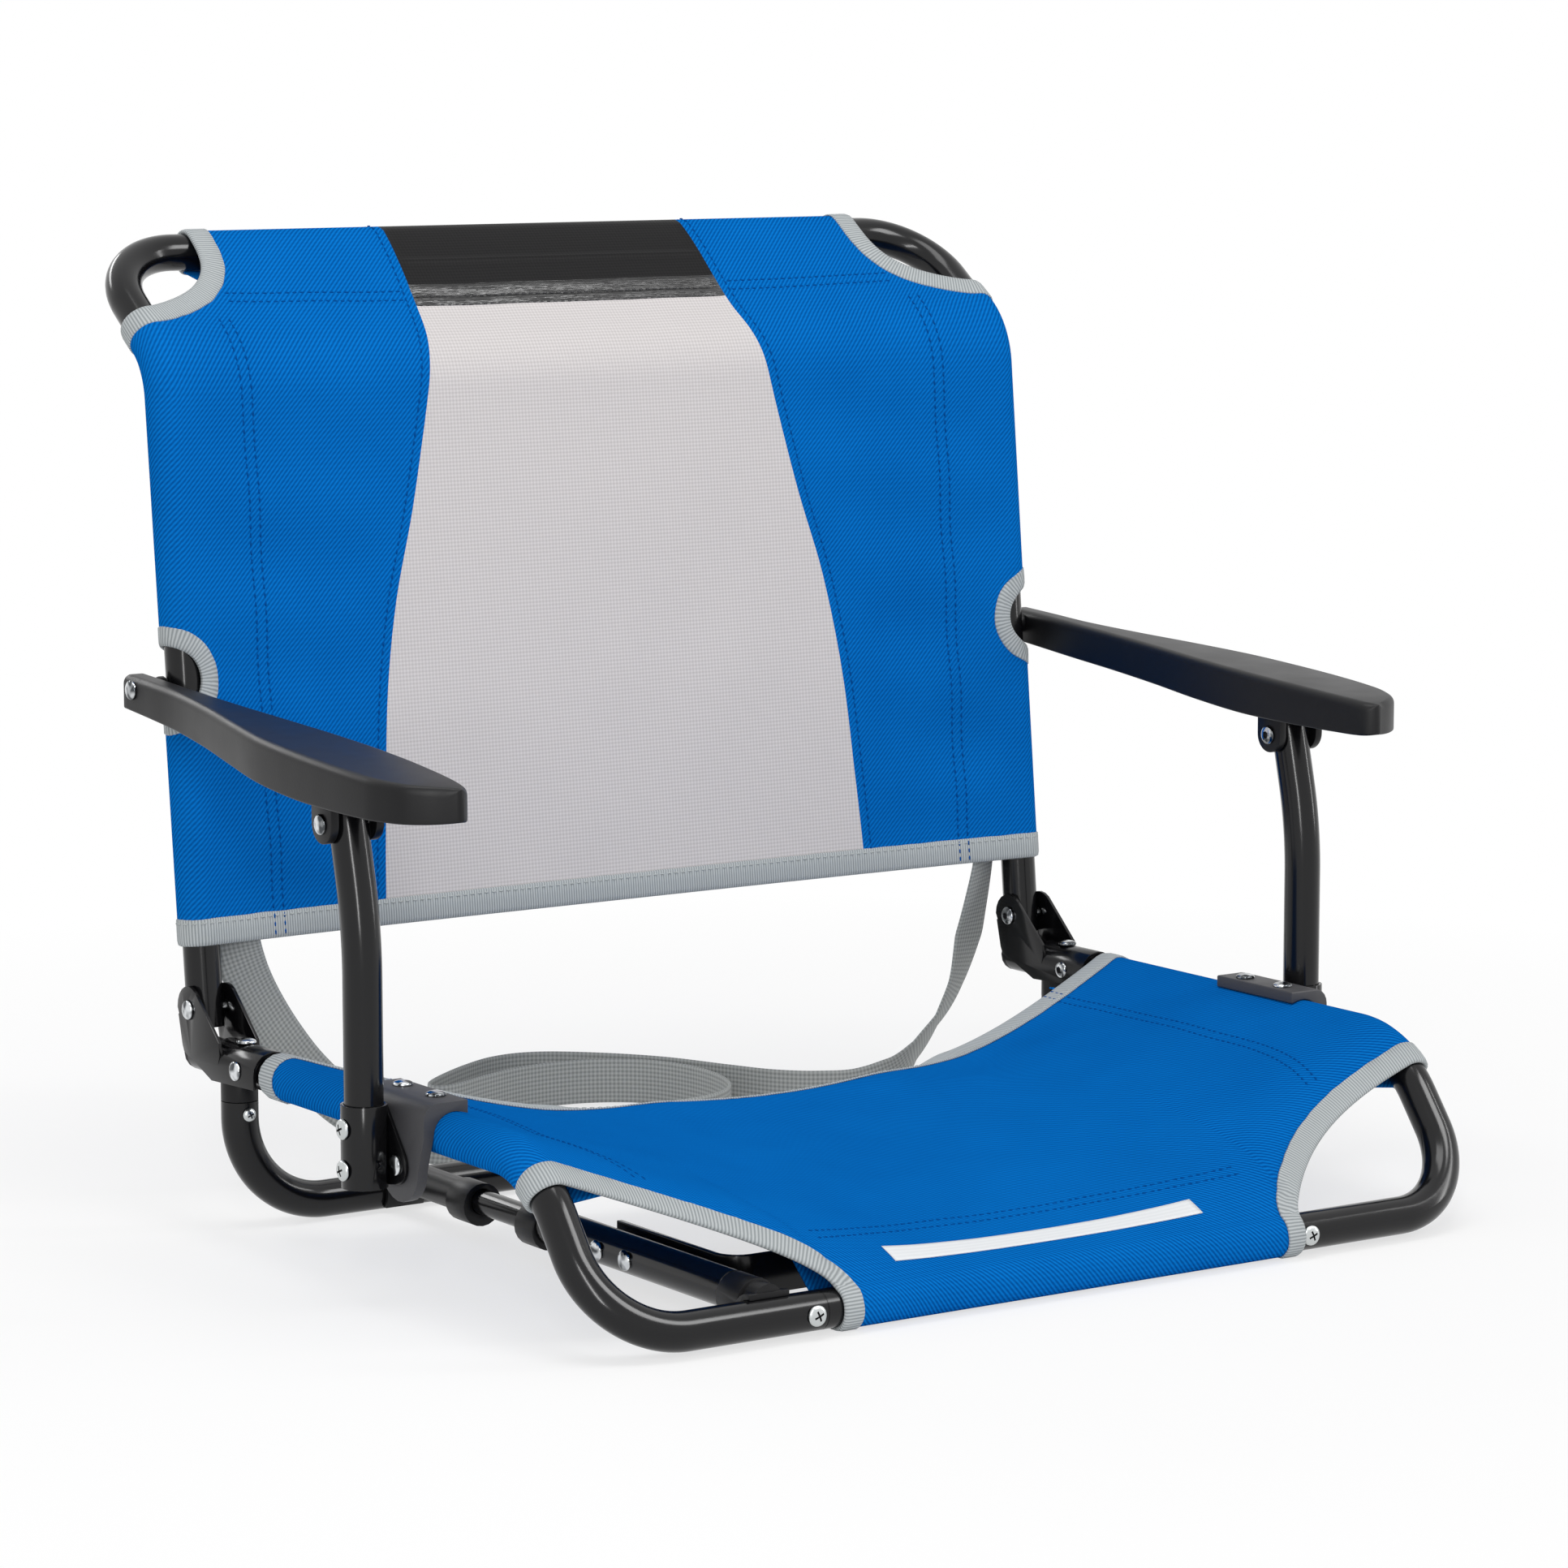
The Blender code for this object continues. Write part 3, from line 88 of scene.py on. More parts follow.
world = bpy.data.worlds.new("studio_white")
scene.world = world
world.use_nodes = True
tree = world.node_tree
tree.nodes.clear()
ROOM_LIGHT = 0.52
seen = add_node(tree, "ShaderNodeBackground", {"Color": linear("#FFFFFF"), "Strength": 1.0})
room = add_node(tree, "ShaderNodeBackground", {"Color": linear("#FFFFFF"), "Strength": ROOM_LIGHT})
both = add_node(tree, "ShaderNodeMixShader", {0: camera_sees(tree), 1: room.outputs[0], 2: seen.outputs[0]})
add_node(tree, "ShaderNodeOutputWorld", {"Surface": both.outputs[0]})

# The shadow shows within half a metre of the chair and fades into the white by one metre
FLOOR_SHADE = 0.32
SHADOW_REACH = (0.5, 1.0)
paper = bpy.data.materials.new("white_paper_sweep")
paper.use_nodes = True
tree = paper.node_tree
tree.nodes.clear()
matt = add_node(tree, "ShaderNodeBsdfDiffuse", {"Color": linear("#F4F4F4")})
glow = add_node(tree, "ShaderNodeEmission", {"Color": linear("#FFFFFF"), "Strength": 1.0})
place = add_node(tree, "ShaderNodeTexCoord")
reach = add_node(tree, "ShaderNodeVectorMath", {0: place.outputs["Object"]}, operation="LENGTH")
white = add_node(tree, "ShaderNodeMapRange", {"Value": reach.outputs["Value"], "From Min": SHADOW_REACH[0],
                                              "From Max": SHADOW_REACH[1], "To Min": 1.0 - FLOOR_SHADE,
                                              "To Max": 1.0})
share = add_node(tree, "ShaderNodeMath", {0: camera_sees(tree), 1: white.outputs[0]}, operation="MULTIPLY")
sheet = add_node(tree, "ShaderNodeMixShader", {0: share.outputs[0], 1: matt.outputs[0], 2: glow.outputs[0]})
add_node(tree, "ShaderNodeOutputMaterial", {"Surface": sheet.outputs[0]})
build = bmesh.new()
bmesh.ops.create_grid(build, x_segments=2, y_segments=2, size=9.0, matrix=Matrix.Translation((0, 0, -0.0006)))
floor_mesh = bpy.data.meshes.new("floor")
build.to_mesh(floor_mesh)
build.free()
floor_mesh.materials.append(paper)
floor = bpy.data.objects.new("floor", floor_mesh)
scene.collection.objects.link(floor)

# name, place, aim, width, height, watts, and whether cloth is lit by it or only gloss mirrors it
LAMPS = (("top_softbox", (-0.2, -0.3, 2.5), (0.0, 0.0, 0.2), 1.5, 0.9, 20.0, True),
         ("front_softbox", (0.75, -1.45, 1.75), (0.0, -0.05, 0.2), 1.0, 0.8, 26.0, False),
         ("key_strip", (-1.7, -2.3, 1.2), (0.0, 0.0, 0.25), 0.28, 1.9, 30.0, True),
         ("side_strip", (2.3, -1.3, 1.1), (0.0, 0.0, 0.25), 0.2, 1.8, 13.0, True),
         ("back_strip", (-0.6, 2.4, 1.5), (0.0, 0.0, 0.3), 1.6, 0.3, 12.0, True))
for name, place, goal, wide, high, watts, lights_cloth in LAMPS:
    lamp_data = bpy.data.lights.new(name, "AREA")
    lamp_data.shape = "RECTANGLE"
    lamp_data.size = wide
    lamp_data.size_y = high
    lamp_data.energy = watts
    lamp = bpy.data.objects.new(name, lamp_data)
    lamp.location = place
    lamp.rotation_mode = "QUATERNION"
    lamp.rotation_quaternion = (Vector(goal) - Vector(place)).to_track_quat("-Z", "Y")
    lamp.visible_camera = False
    lamp.visible_diffuse = lights_cloth
    scene.collection.objects.link(lamp)

camera_data = bpy.data.cameras.new("camera")
camera_data.lens = 122.12
camera_data.sensor_width = 36.0
camera = bpy.data.objects.new("camera", camera_data)
scene.collection.objects.link(camera)
aim_point = Vector((-0.01664, -0.02958, 0.22333))
turn = math.radians(-34.15)
rise = math.radians(8.07)
camera_distance = 2.68726
away = Vector((math.sin(turn) * math.cos(rise), -math.cos(turn) * math.cos(rise), math.sin(rise)))
camera.location = aim_point + away * camera_distance
camera.rotation_mode = "QUATERNION"
camera.rotation_quaternion = (-away).to_track_quat("-Z", "Y")
scene.camera = camera

# Seat frame. Two 19 mm steel tubes, each bent from rail to front foot, joined by a cross tube in the
# front sleeve. The steel is powder coated gloss black after bending.
MM = 0.001
TUBE_R = 9.5
RAIL_X = 258.5
RAIL_Z = 85.0
RAIL_REAR = -2.0
RAIL_CORNER = 323.0
RAIL_BEND_R = 60.0
FOOT_BEND_R = 45.0
HINGE_Y = 139.105
FRONT_BAR = (380.0, 11.0)
FRONT_JOINT_X = 141.0
JOINT_GAP = 0.3
SIDES = (("left", -1), ("right", 1))


def spot(x, ahead, z):
    """Return the point at x, so far ahead of the back hinge line, at height z, all in millimetres."""
    return Vector((x, HINGE_Y - ahead, z)) * MM


def start_material(name, color, roughness, metallic=0.0, specular=0.5):
    """Return a material, its node tree and its Principled shader, with plain starting values."""
    material = bpy.data.materials.new(name)
    material.use_nodes = True
    shader = material.node_tree.nodes["Principled BSDF"]
    shader.inputs["Base Color"].default_value = linear(color)
    shader.inputs["Roughness"].default_value = roughness
    shader.inputs["Metallic"].default_value = metallic
    shader.inputs["Specular IOR Level"].default_value = specular
    return material, material.node_tree, shader


def hard_finish(tree, shader, low, high, cloud, grain=None, depth=0.0, strength=0.0):
    """Let the roughness drift over clouds and raise a finer grain; cloud, grain and depth in millimetres."""
    place = add_node(tree, "ShaderNodeTexCoord").outputs["Object"]
    drift = add_node(tree, "ShaderNodeTexNoise", {"Vector": place, "Scale": 1 / (cloud * MM), "Detail": 2.0})
    add_node(tree, "ShaderNodeMapRange", {"Value": drift.outputs["Fac"], "To Min": low, "To Max": high},
             {0: shader.inputs["Roughness"]})
    if grain:
        peel = add_node(tree, "ShaderNodeTexNoise", {"Vector": place, "Scale": 1 / (grain * MM),
                                                     "Detail": 1.0})
        add_node(tree, "ShaderNodeBump", {"Height": peel.outputs["Fac"], "Distance": depth * MM,
                                          "Strength": strength}, {0: shader.inputs["Normal"]})


# Gloss powder coat: near black, with long clean highlights and a faint orange peel of 4 mm
powder_coat, tree, shader = start_material("gloss_black_powder_coat", "#0B0B0D", 0.17, specular=0.34)
hard_finish(tree, shader, 0.13, 0.21, cloud=40.0, grain=4.0, depth=0.03, strength=0.3)


def show(name, build, material, body, slot, *nodes, angle=35.0):
    """Turn a bmesh into a finished piece: material, smooth shading, body and the nodes it replaces; the slot
    is not used.
    """
    mesh = bpy.data.meshes.new(name)
    build.to_mesh(mesh)
    build.free()
    for one in material if isinstance(material, (list, tuple)) else [material]:
        mesh.materials.append(one)
    mesh.shade_smooth()
    mesh.set_sharp_from_angle(angle=math.radians(angle))
    piece = bpy.data.objects.new(name, mesh)
    scene.collection.objects.link(piece)
    if body:
        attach(piece, body)
    if nodes:
        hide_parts(*nodes)
    return piece


def bent_path(corners, radii, step=math.radians(3.0)):
    """Return a path through corners whose bends are arcs of the given radii in millimetres."""
    path = [corners[0]]
    for before, corner, after, radius in zip(corners, corners[1:], corners[2:], radii):
        back = (before - corner).normalized()
        on = (after - corner).normalized()
        opening = back.angle(on)
        run = radius * MM / math.tan(opening / 2)
        center = corner + (back + on).normalized() * radius * MM / math.sin(opening / 2)
        first = corner + back * run - center
        axis = first.cross(corner + on * run - center).normalized()
        count = max(4, math.ceil((math.pi - opening) / step))
        for index in range(count + 1):
            path.append(center + Matrix.Rotation((math.pi - opening) * index / count, 3, axis) @ first)
    path.append(corners[-1])
    return path


def tube_shape(path, radius=TUBE_R, wall=1.4, mouth=12.0):
    """Return a bmesh of a round tube along a path, with open mouths at both ends."""
    curve = bpy.data.curves.new("tube", "CURVE")
    curve.dimensions = "3D"
    curve.twist_mode = "MINIMUM"
    curve.bevel_depth = radius * MM
    curve.bevel_resolution = 12
    curve.use_fill_caps = True
    line = curve.splines.new("POLY")
    line.points.add(len(path) - 1)
    for knot, point in zip(line.points, path):
        knot.co = (*point, 1.0)
    carrier = bpy.data.objects.new("tube", curve)
    scene.collection.objects.link(carrier)
    bpy.context.view_layer.update()
    shape = bpy.data.meshes.new_from_object(carrier.evaluated_get(bpy.context.evaluated_depsgraph_get()))
    bpy.data.objects.remove(carrier, do_unlink=True)
    build = bmesh.new()
    build.from_mesh(shape)
    bmesh.ops.remove_doubles(build, verts=build.verts, dist=0.01 * MM)
    bmesh.ops.recalc_face_normals(build, faces=build.faces)
    caps = [face for face in build.faces if len(face.verts) > 8]
    bmesh.ops.inset_individual(build, faces=caps, thickness=wall * MM, use_even_offset=True)
    deep = bmesh.ops.extrude_discrete_faces(build, faces=caps)["faces"]
    for face in deep:
        bmesh.ops.translate(build, verts=face.verts, vec=face.normal * -mouth * MM)
    return build


for word, sign in SIDES:
    corners = [spot(sign * RAIL_X, RAIL_REAR, RAIL_Z), spot(sign * RAIL_X, RAIL_CORNER, RAIL_Z),
               spot(sign * RAIL_X, *FRONT_BAR), spot(sign * FRONT_JOINT_X, *FRONT_BAR)]
    show(word + "_side_tube", tube_shape(bent_path(corners, (RAIL_BEND_R, FOOT_BEND_R))), powder_coat, "seat",
         "black_coat", word + "_seat_tube")
cross = [spot(-FRONT_JOINT_X + JOINT_GAP, *FRONT_BAR), spot(0, *FRONT_BAR),
         spot(FRONT_JOINT_X - JOINT_GAP, *FRONT_BAR)]
show("front_cross_tube", tube_shape(cross), powder_coat, "seat", "black_coat", "front_bar")

# Rear leg. One U-shaped tube whose cross bar lies on the bench. A moulded saddle plug sits in each top
# end under the rail, with a small screw through it, and plugs close the rails' rear ends.
LEG_AHEAD = 36.0
LEG_TOP = 66.0
LEG_BEND_R = 48.0
leg = [spot(-RAIL_X, LEG_AHEAD, LEG_TOP), spot(-RAIL_X, LEG_AHEAD, TUBE_R), spot(RAIL_X, LEG_AHEAD, TUBE_R),
       spot(RAIL_X, LEG_AHEAD, LEG_TOP)]
show("rear_leg_tube", tube_shape(bent_path(leg, (LEG_BEND_R, LEG_BEND_R))), powder_coat, "seat", "black_coat",
     "rear_leg")

# Moulded polypropylene: satin black, with a fine spark-eroded grain of 0.9 mm
moulded_black, tree, shader = start_material("moulded_polypropylene_black", "#0E0E10", 0.4, specular=0.26)
hard_finish(tree, shader, 0.34, 0.46, cloud=25.0, grain=0.9, depth=0.06, strength=0.5)


def carve(build, operation, tool):
    """Join or cut a bmesh with another one and return the result."""
    pair = []
    for name, shape in (("body", build), ("tool", tool)):
        mesh = bpy.data.meshes.new(name)
        shape.to_mesh(mesh)
        shape.free()
        mesh.materials.append(None)
        mesh.materials.append(None)
        pair.append(bpy.data.objects.new(name, mesh))
        scene.collection.objects.link(pair[-1])
    step = pair[0].modifiers.new("carve", "BOOLEAN")
    step.operation = operation
    step.solver = "EXACT"
    step.object = pair[1]
    bpy.context.view_layer.update()
    result = bpy.data.meshes.new_from_object(pair[0].evaluated_get(bpy.context.evaluated_depsgraph_get()))
    for one in pair:
        bpy.data.objects.remove(one, do_unlink=True)
    made = bmesh.new()
    made.from_mesh(result)
    return made


def round_edges(build, angle, width, segments):
    """Round a bmesh's edges that are sharper than an angle in degrees, by a width in millimetres."""
    sharp = [edge for edge in build.edges if edge.calc_face_angle(0.0) > math.radians(angle)]
    bmesh.ops.bevel(build, geom=sharp, offset=width * MM, offset_type="OFFSET", affect="EDGES",
                    segments=segments, profile=0.5, material=-1, clamp_overlap=True)


def soften(name, node, material, body, slot, width, segments=3, added=()):
    """Make a piece from a CAD node's shape and any added shapes, with its sharp edges rounded."""
    build = bmesh.new()
    build.from_mesh(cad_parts[node].data)
    for shape in added:
        build = carve(build, "UNION", shape)
    bmesh.ops.remove_doubles(build, verts=build.verts, dist=0.005 * MM)
    bmesh.ops.dissolve_limit(build, angle_limit=math.radians(0.6), verts=build.verts, edges=build.edges)
    round_edges(build, 35.0, width, segments)
    return show(name, build, material, body, slot, node, angle=50.0)


for word in ("left", "right"):
    soften(word + "_leg_plug", word + "_leg_saddle", moulded_black, "seat", "moulded_black", 0.5)
    soften(word + "_rail_end_plug", word + "_rail_plug", moulded_black, "seat", "moulded_black", 0.6)

# Hinge brackets. Folded 1.8 mm steel saddles over the rails, with two ears round each back tube that
# widen down to the saddle, powder coated like the tubes and riveted to the rails.
EAR_FACES = (9.8, 11.6)
# the wide lower part of an ear as (ahead, height), clear of the pin's hole
EAR_WEB = ((12.5, 117.4), (36.0, 96.2), (37.0, 90.0), (34.0, 82.0), (20.0, 83.5), (3.5, 84.3),
           (-1.0, 86.5), (-2.8, 90.0), (-6.6, 105.0), (-2.0, 103.0), (4.5, 101.5), (9.5, 104.0),
           (11.5, 108.5), (10.0, 113.5))


def plate(outline, reach):
    """Return a bmesh of a flat plate: an outline of points, extruded by a vector."""
    build = bmesh.new()
    rim = [build.verts.new(point) for point in outline]
    edges = [build.edges.new((rim[k - 1], rim[k])) for k in range(len(rim))]
    bmesh.ops.contextual_create(build, geom=edges)
    grown = bmesh.ops.extrude_face_region(build, geom=build.faces[:])["geom"]
    bmesh.ops.translate(build, verts=[one for one in grown if isinstance(one, bmesh.types.BMVert)], vec=reach)
    bmesh.ops.recalc_face_normals(build, faces=build.faces)
    return build


for word, sign in SIDES:
    webs = []
    for side in (-1, 1):
        near, far = [sign * RAIL_X + side * face for face in EAR_FACES]
        webs.append(plate([spot(near, *point) for point in EAR_WEB], Vector(((far - near) * MM, 0, 0))))
    soften(word + "_hinge_saddle", word + "_hinge_bracket", powder_coat, "seat", "black_coat", 0.4, 2,
           added=webs)

# Back frame. One tube, bent back at shoulder height and round the two top corners. Its feet stand
# between the brackets' ears and turn on rivets.
BACK_LEAN = math.radians(5.67)
TOP_LEAN = math.radians(53.8)
BACK_STRAIGHT = 327.3
TOP_RUN = 87.8
BACK_BEND_R = 40.0
HINGE_Z = 108.5
BACK_AXIS = 0.4
BACK_FOOT = 10.2
TOP_BEND_R = 41.6


def back_corners(x):
    """Return the back tube's corner points at x: foot, shoulder and top corner."""
    up = Vector((0.0, math.sin(BACK_LEAN), math.cos(BACK_LEAN)))
    top = Vector((0.0, math.sin(TOP_LEAN), math.cos(TOP_LEAN)))
    axis = spot(x, BACK_AXIS, HINGE_Z)
    shoulder = axis + up * BACK_STRAIGHT * MM
    return [axis - up * BACK_FOOT * MM, shoulder, shoulder + top * TOP_RUN * MM]


hoop = back_corners(-RAIL_X) + back_corners(RAIL_X)[::-1]
hoop_path = bent_path(hoop, (BACK_BEND_R, TOP_BEND_R, TOP_BEND_R, BACK_BEND_R))
show("back_hoop", tube_shape(hoop_path), powder_coat, "back", "black_coat", "back_tube")

# Back sling. One sheet of cloth: blue coated polyester at the sides, a pale knitted mesh panel that
# narrows upwards and glossy black vinyl over the top bar. It is sewn into sleeves round the tubes.
SLEEVE_R = 10.55
CLOTH = 0.9
FLAP = 38.0
HEM_V = 32.66
TOP_HALF = 209.0
VINYL_V = 358.4
BACK_BEND_AT = BACK_STRAIGHT - BACK_BEND_R * math.tan((TOP_LEAN - BACK_LEAN) / 2)
BACK_BEND_RUN = BACK_BEND_R * (TOP_LEAN - BACK_LEAN)
TOP_V = BACK_BEND_AT + BACK_BEND_RUN + TOP_RUN - BACK_BEND_R * math.tan((TOP_LEAN - BACK_LEAN) / 2)
CORNER_V = TOP_V - 57.8
# Half widths of the middle panel at heights along the back
PANEL_EDGE = ((33, 152), (90, 148), (150, 143), (200, 134), (246, 121), (287, 111.5), (318, 105), (351, 98),
              (413, 94))
CLOTH_LIFT = 0.35


def follow(table, at):
    """Return the value of a table of (place, value) pairs at a place, on a smooth line through them."""
    if at <= table[0][0]:
        return table[0][1]
    for index in range(len(table) - 1):
        (start, low), (end, high) = table[index], table[index + 1]
        if at <= end:
            before = table[max(0, index - 1)]
            after = table[min(len(table) - 1, index + 2)]
            slope = (high - before[1]) / (end - before[0]) * (end - start)
            leave = (after[1] - low) / (after[0] - start) * (end - start)
            t = (at - start) / (end - start)
            return (low * (2 * t ** 3 - 3 * t * t + 1) + high * (3 * t * t - 2 * t ** 3)
                    + slope * (t ** 3 - 2 * t * t + t) + leave * (t ** 3 - t * t))
    return table[-1][1]


def ease(low, high, at):
    """Return a smooth step from 0 at low to 1 at high."""
    t = min(1.0, max(0.0, (at - low) / (high - low)))
    return t * t * (3 - 2 * t)


def back_line(v):
    """Return a point of the back tube's side line at distance v, as (y, z) and its direction."""
    tilt = BACK_LEAN + min(max(v - BACK_BEND_AT, 0.0), BACK_BEND_RUN) / BACK_BEND_R
    straight = min(v, BACK_BEND_AT)
    y = -BACK_AXIS + straight * math.sin(BACK_LEAN) + BACK_BEND_R * (math.cos(BACK_LEAN) - math.cos(tilt))
    z = HINGE_Z + straight * math.cos(BACK_LEAN) + BACK_BEND_R * (math.sin(tilt) - math.sin(BACK_LEAN))
    beyond = max(0.0, v - BACK_BEND_AT - BACK_BEND_RUN)
    return y + beyond * math.sin(tilt), z + beyond * math.cos(tilt), math.sin(tilt), math.cos(tilt)


def wrap_end(across, forward):
    """Return the angle at which a sleeve leaves its tube to run straight to a point."""
    reach = math.hypot(across, forward)
    return 2 * math.pi + math.atan2(across, forward) - math.acos(SLEEVE_R / reach)


FLAP_FRONT = SLEEVE_R - CLOTH - 0.6
BACK_TURN = wrap_end(-FLAP, FLAP_FRONT)
BACK_FLAP = math.sqrt(FLAP ** 2 + FLAP_FRONT ** 2 - SLEEVE_R ** 2)
BACK_WRAP = SLEEVE_R * BACK_TURN


def around(distance, end, run, lift):
    """Return (across, forward) on a sleeve: round the tube to an end angle, then straight on."""
    angle = min(distance / SLEEVE_R, end)
    past = distance - angle * SLEEVE_R
    radius = SLEEVE_R + lift
    across = radius * math.sin(angle) + past * math.cos(angle)
    forward = radius * math.cos(angle) - past * math.sin(angle)
    return across, forward, min(1.0, past / run)


def back_sag(x, v):
    """Return how far the middle of the back hangs behind the tubes' front, with soft ripples."""
    reach = min(1.0, abs(x) / RAIL_X)
    hang = 9.5 * (1 - reach ** 3.5) * (1 - ease(335, TOP_V, v))
    edge = abs(x) - follow(PANEL_EDGE, v)
    ripple = 0.9 * math.sin(v / 9.5 + x / 60) * ease(0, 40, edge) * (1 - ease(230, 258, abs(x)))
    fold = 0.8 * noise.noise(Vector((x / 45, v / 70, 3.0))) * (1 - reach ** 6)
    return hang + ((ripple * (1 - ease(250, 330, v)) + fold)
                   * ease(HEM_V, HEM_V + 45, v) * (1 - ease(360, TOP_V, v)))


def back_spot(u, v, lift=0.0):
    """Return the point of the back cloth at u across and v along, raised from its surface by lift."""
    side = -1 if u < 0 else 1
    over = max(0.0, v - TOP_V)
    y, z, rise_y, rise_z = back_line(min(v, TOP_V))
    x = abs(u)
    along = 0.0
    if over > 0:
        along, forward, loose = around(over, BACK_TURN, BACK_FLAP, lift)
        forward -= loose * (back_sag(side * x, TOP_V - FLAP) + 1.0)
    elif x > RAIL_X:
        across, forward, loose = around(x - RAIL_X, BACK_TURN, BACK_FLAP, lift)
        forward -= loose * back_sag(RAIL_X - FLAP, v)
        x = RAIL_X + across
    else:
        forward = SLEEVE_R + lift - back_sag(side * x, v)
    return Vector((side * x, HINGE_Y + y - forward * rise_z + along * rise_y,
                   z + forward * rise_y + along * rise_z)) * MM


def back_edge(x):
    """Return how far up the cloth goes at x between the top sleeve and the side sleeve."""
    beyond = min(1.0, max(0.0, (abs(x) - TOP_HALF) / (RAIL_X - TOP_HALF)))
    return TOP_V - (TOP_V - CORNER_V) * beyond ** 0.3


def grid_cloth(columns, rows, place):
    """Return a bmesh grid whose points and UV (in metres) come from place(column, row)."""
    build = bmesh.new()
    bmesh.ops.create_grid(build, x_segments=columns, y_segments=rows, size=1.0, calc_uvs=True)
    chart = build.loops.layers.uv.verify()
    home = {}
    for vert in build.verts:
        key = (round((vert.co.x + 1) / 2 * columns), round((vert.co.y + 1) / 2 * rows))
        point, flat = place(*key)
        vert.co = point
        home[vert] = (key, (flat[0] * MM, flat[1] * MM))
    for face in build.faces:
        for loop in face.loops:
            loop[chart].uv = home[loop.vert][1]
    return build, {vert: key for vert, (key, flat) in home.items()}


# columns from the middle outwards: panel, side, corner, round the tube, flap
BACK_COLUMNS = (34, 16, 16, 18, 6)
BACK_ROWS = (96, 44, 20, 6)
HALF = sum(BACK_COLUMNS)


def vinyl_lift(v):
    """Return the height of the vinyl's rolled hem, its two sewn ridges and the fold line above them."""
    up = v - VINYL_V
    hem = 1.3 * math.sin(math.pi * min(1.0, max(0.0, up / 6.5))) ** 2
    roll = 1.6 * math.sin(math.pi * min(1.0, max(0.0, (up - 6.5) / 9.0))) ** 2
    fold = 0.8 * max(0.0, 1 - abs(up - 31.0) / 3.0)
    return hem + roll + fold


def back_place(column, row):
    """Return the back cloth's point and flat position for a place in its grid."""
    count = abs(column - HALF)
    side = -1 if column < HALF else 1
    middle, flank, corner, wrap, flap = BACK_COLUMNS
    low, high, top_wrap, top_flap = BACK_ROWS
    corner_x = TOP_HALF + (RAIL_X - TOP_HALF) * min(1.0, max(0, count - middle - flank) / corner) ** 2.2
    reach = TOP_V if count <= middle + flank else back_edge(corner_x)
    seam = min(VINYL_V, reach - 2.0)
    if row <= low:
        v = HEM_V + (seam - HEM_V) * row / low
    elif row <= low + high:
        v = seam + (reach - seam) * (row - low) / high
    elif row <= low + high + top_wrap:
        v = TOP_V + BACK_WRAP * (row - low - high) / top_wrap
    else:
        v = TOP_V + BACK_WRAP + BACK_FLAP * (row - low - high - top_wrap) / top_flap
    edge = follow(PANEL_EDGE, v)
    if count <= middle:
        u = edge * count / middle
    elif count <= middle + flank:
        u = edge + (TOP_HALF - edge) * (count - middle) / flank
    elif count <= middle + flank + corner:
        u = corner_x
    elif count <= middle + flank + corner + wrap:
        u = RAIL_X + BACK_WRAP * (count - middle - flank - corner) / wrap
    else:
        u = RAIL_X + BACK_WRAP + BACK_FLAP * (count - middle - flank - corner - wrap) / flap
    lift = 0.0
    if row <= low + high:
        lift = CLOTH_LIFT if count >= middle else vinyl_lift(v)
    return back_spot(side * u, v, lift), (side * u, v)


# The arm pivot's opening in the side sleeve, in the cloth's flat lengths
HOLE_U = RAIL_X + SLEEVE_R * math.pi / 2
HOLE_V = 166.8
HOLE_SIZE = (21.5, 18.4)


def weave(tree, across, along, skew=0.0, share=0.5):
    """Return the height of a weave on the flat cloth, from its two thread pitches in millimetres."""
    chart = add_node(tree, "ShaderNodeUVMap")
    place = add_node(tree, "ShaderNodeSeparateXYZ", {0: chart.outputs[0]})
    slope = add_node(tree, "ShaderNodeMath", {0: place.outputs["Y"], 1: skew, 2: place.outputs["X"]},
                     operation="MULTIPLY_ADD")
    height = 0.5
    for socket, pitch, part in ((slope.outputs[0], across, share), (place.outputs["Y"], along, 1 - share)):
        turn = add_node(tree, "ShaderNodeMath", {0: socket, 1: 2 * math.pi / (pitch * MM)},
                        operation="MULTIPLY")
        wave = add_node(tree, "ShaderNodeMath", {0: turn.outputs[0]}, operation="SINE")
        height = add_node(tree, "ShaderNodeMath", {0: wave.outputs[0], 1: part / 2, 2: height},
                          operation="MULTIPLY_ADD").outputs[0]
    return height


def woven_finish(tree, shader, height, dark, light, depth, strength=0.6, shade=None):
    """Colour a cloth from dark to light by its threads' height or a shade, and raise them in millimetres."""
    share = height if shade is None else shade
    add_node(tree, "ShaderNodeMix", {0: share, 6: linear(dark), 7: linear(light)},
             {2: shader.inputs["Base Color"]}, data_type="RGBA")
    add_node(tree, "ShaderNodeBump", {"Height": height, "Distance": depth * MM, "Strength": strength},
             {0: shader.inputs["Normal"]})


# Coated polyester twill: strong blue with fine slanting ribs, drawn 1.9 mm apart where the real ones
# are 1.2 mm, no sheen and slow cloudy changes of shade
blue_cloth, tree, shader = start_material("coated_polyester_twill_blue", "#0A63B5", 0.85, specular=0.0)
threads = weave(tree, 2.7, 2.7, -1.0, 0.88)
place = add_node(tree, "ShaderNodeTexCoord")
cloud = add_node(tree, "ShaderNodeTexNoise", {"Vector": place.outputs["Object"], "Scale": 1 / (60.0 * MM),
                                              "Detail": 3.0})
shade = add_node(tree, "ShaderNodeMix", {0: 0.78, 2: cloud.outputs["Fac"], 3: threads})
woven_finish(tree, shader, threads, "#03448A", "#0B79D0", 0.12, shade=shade.outputs[0])

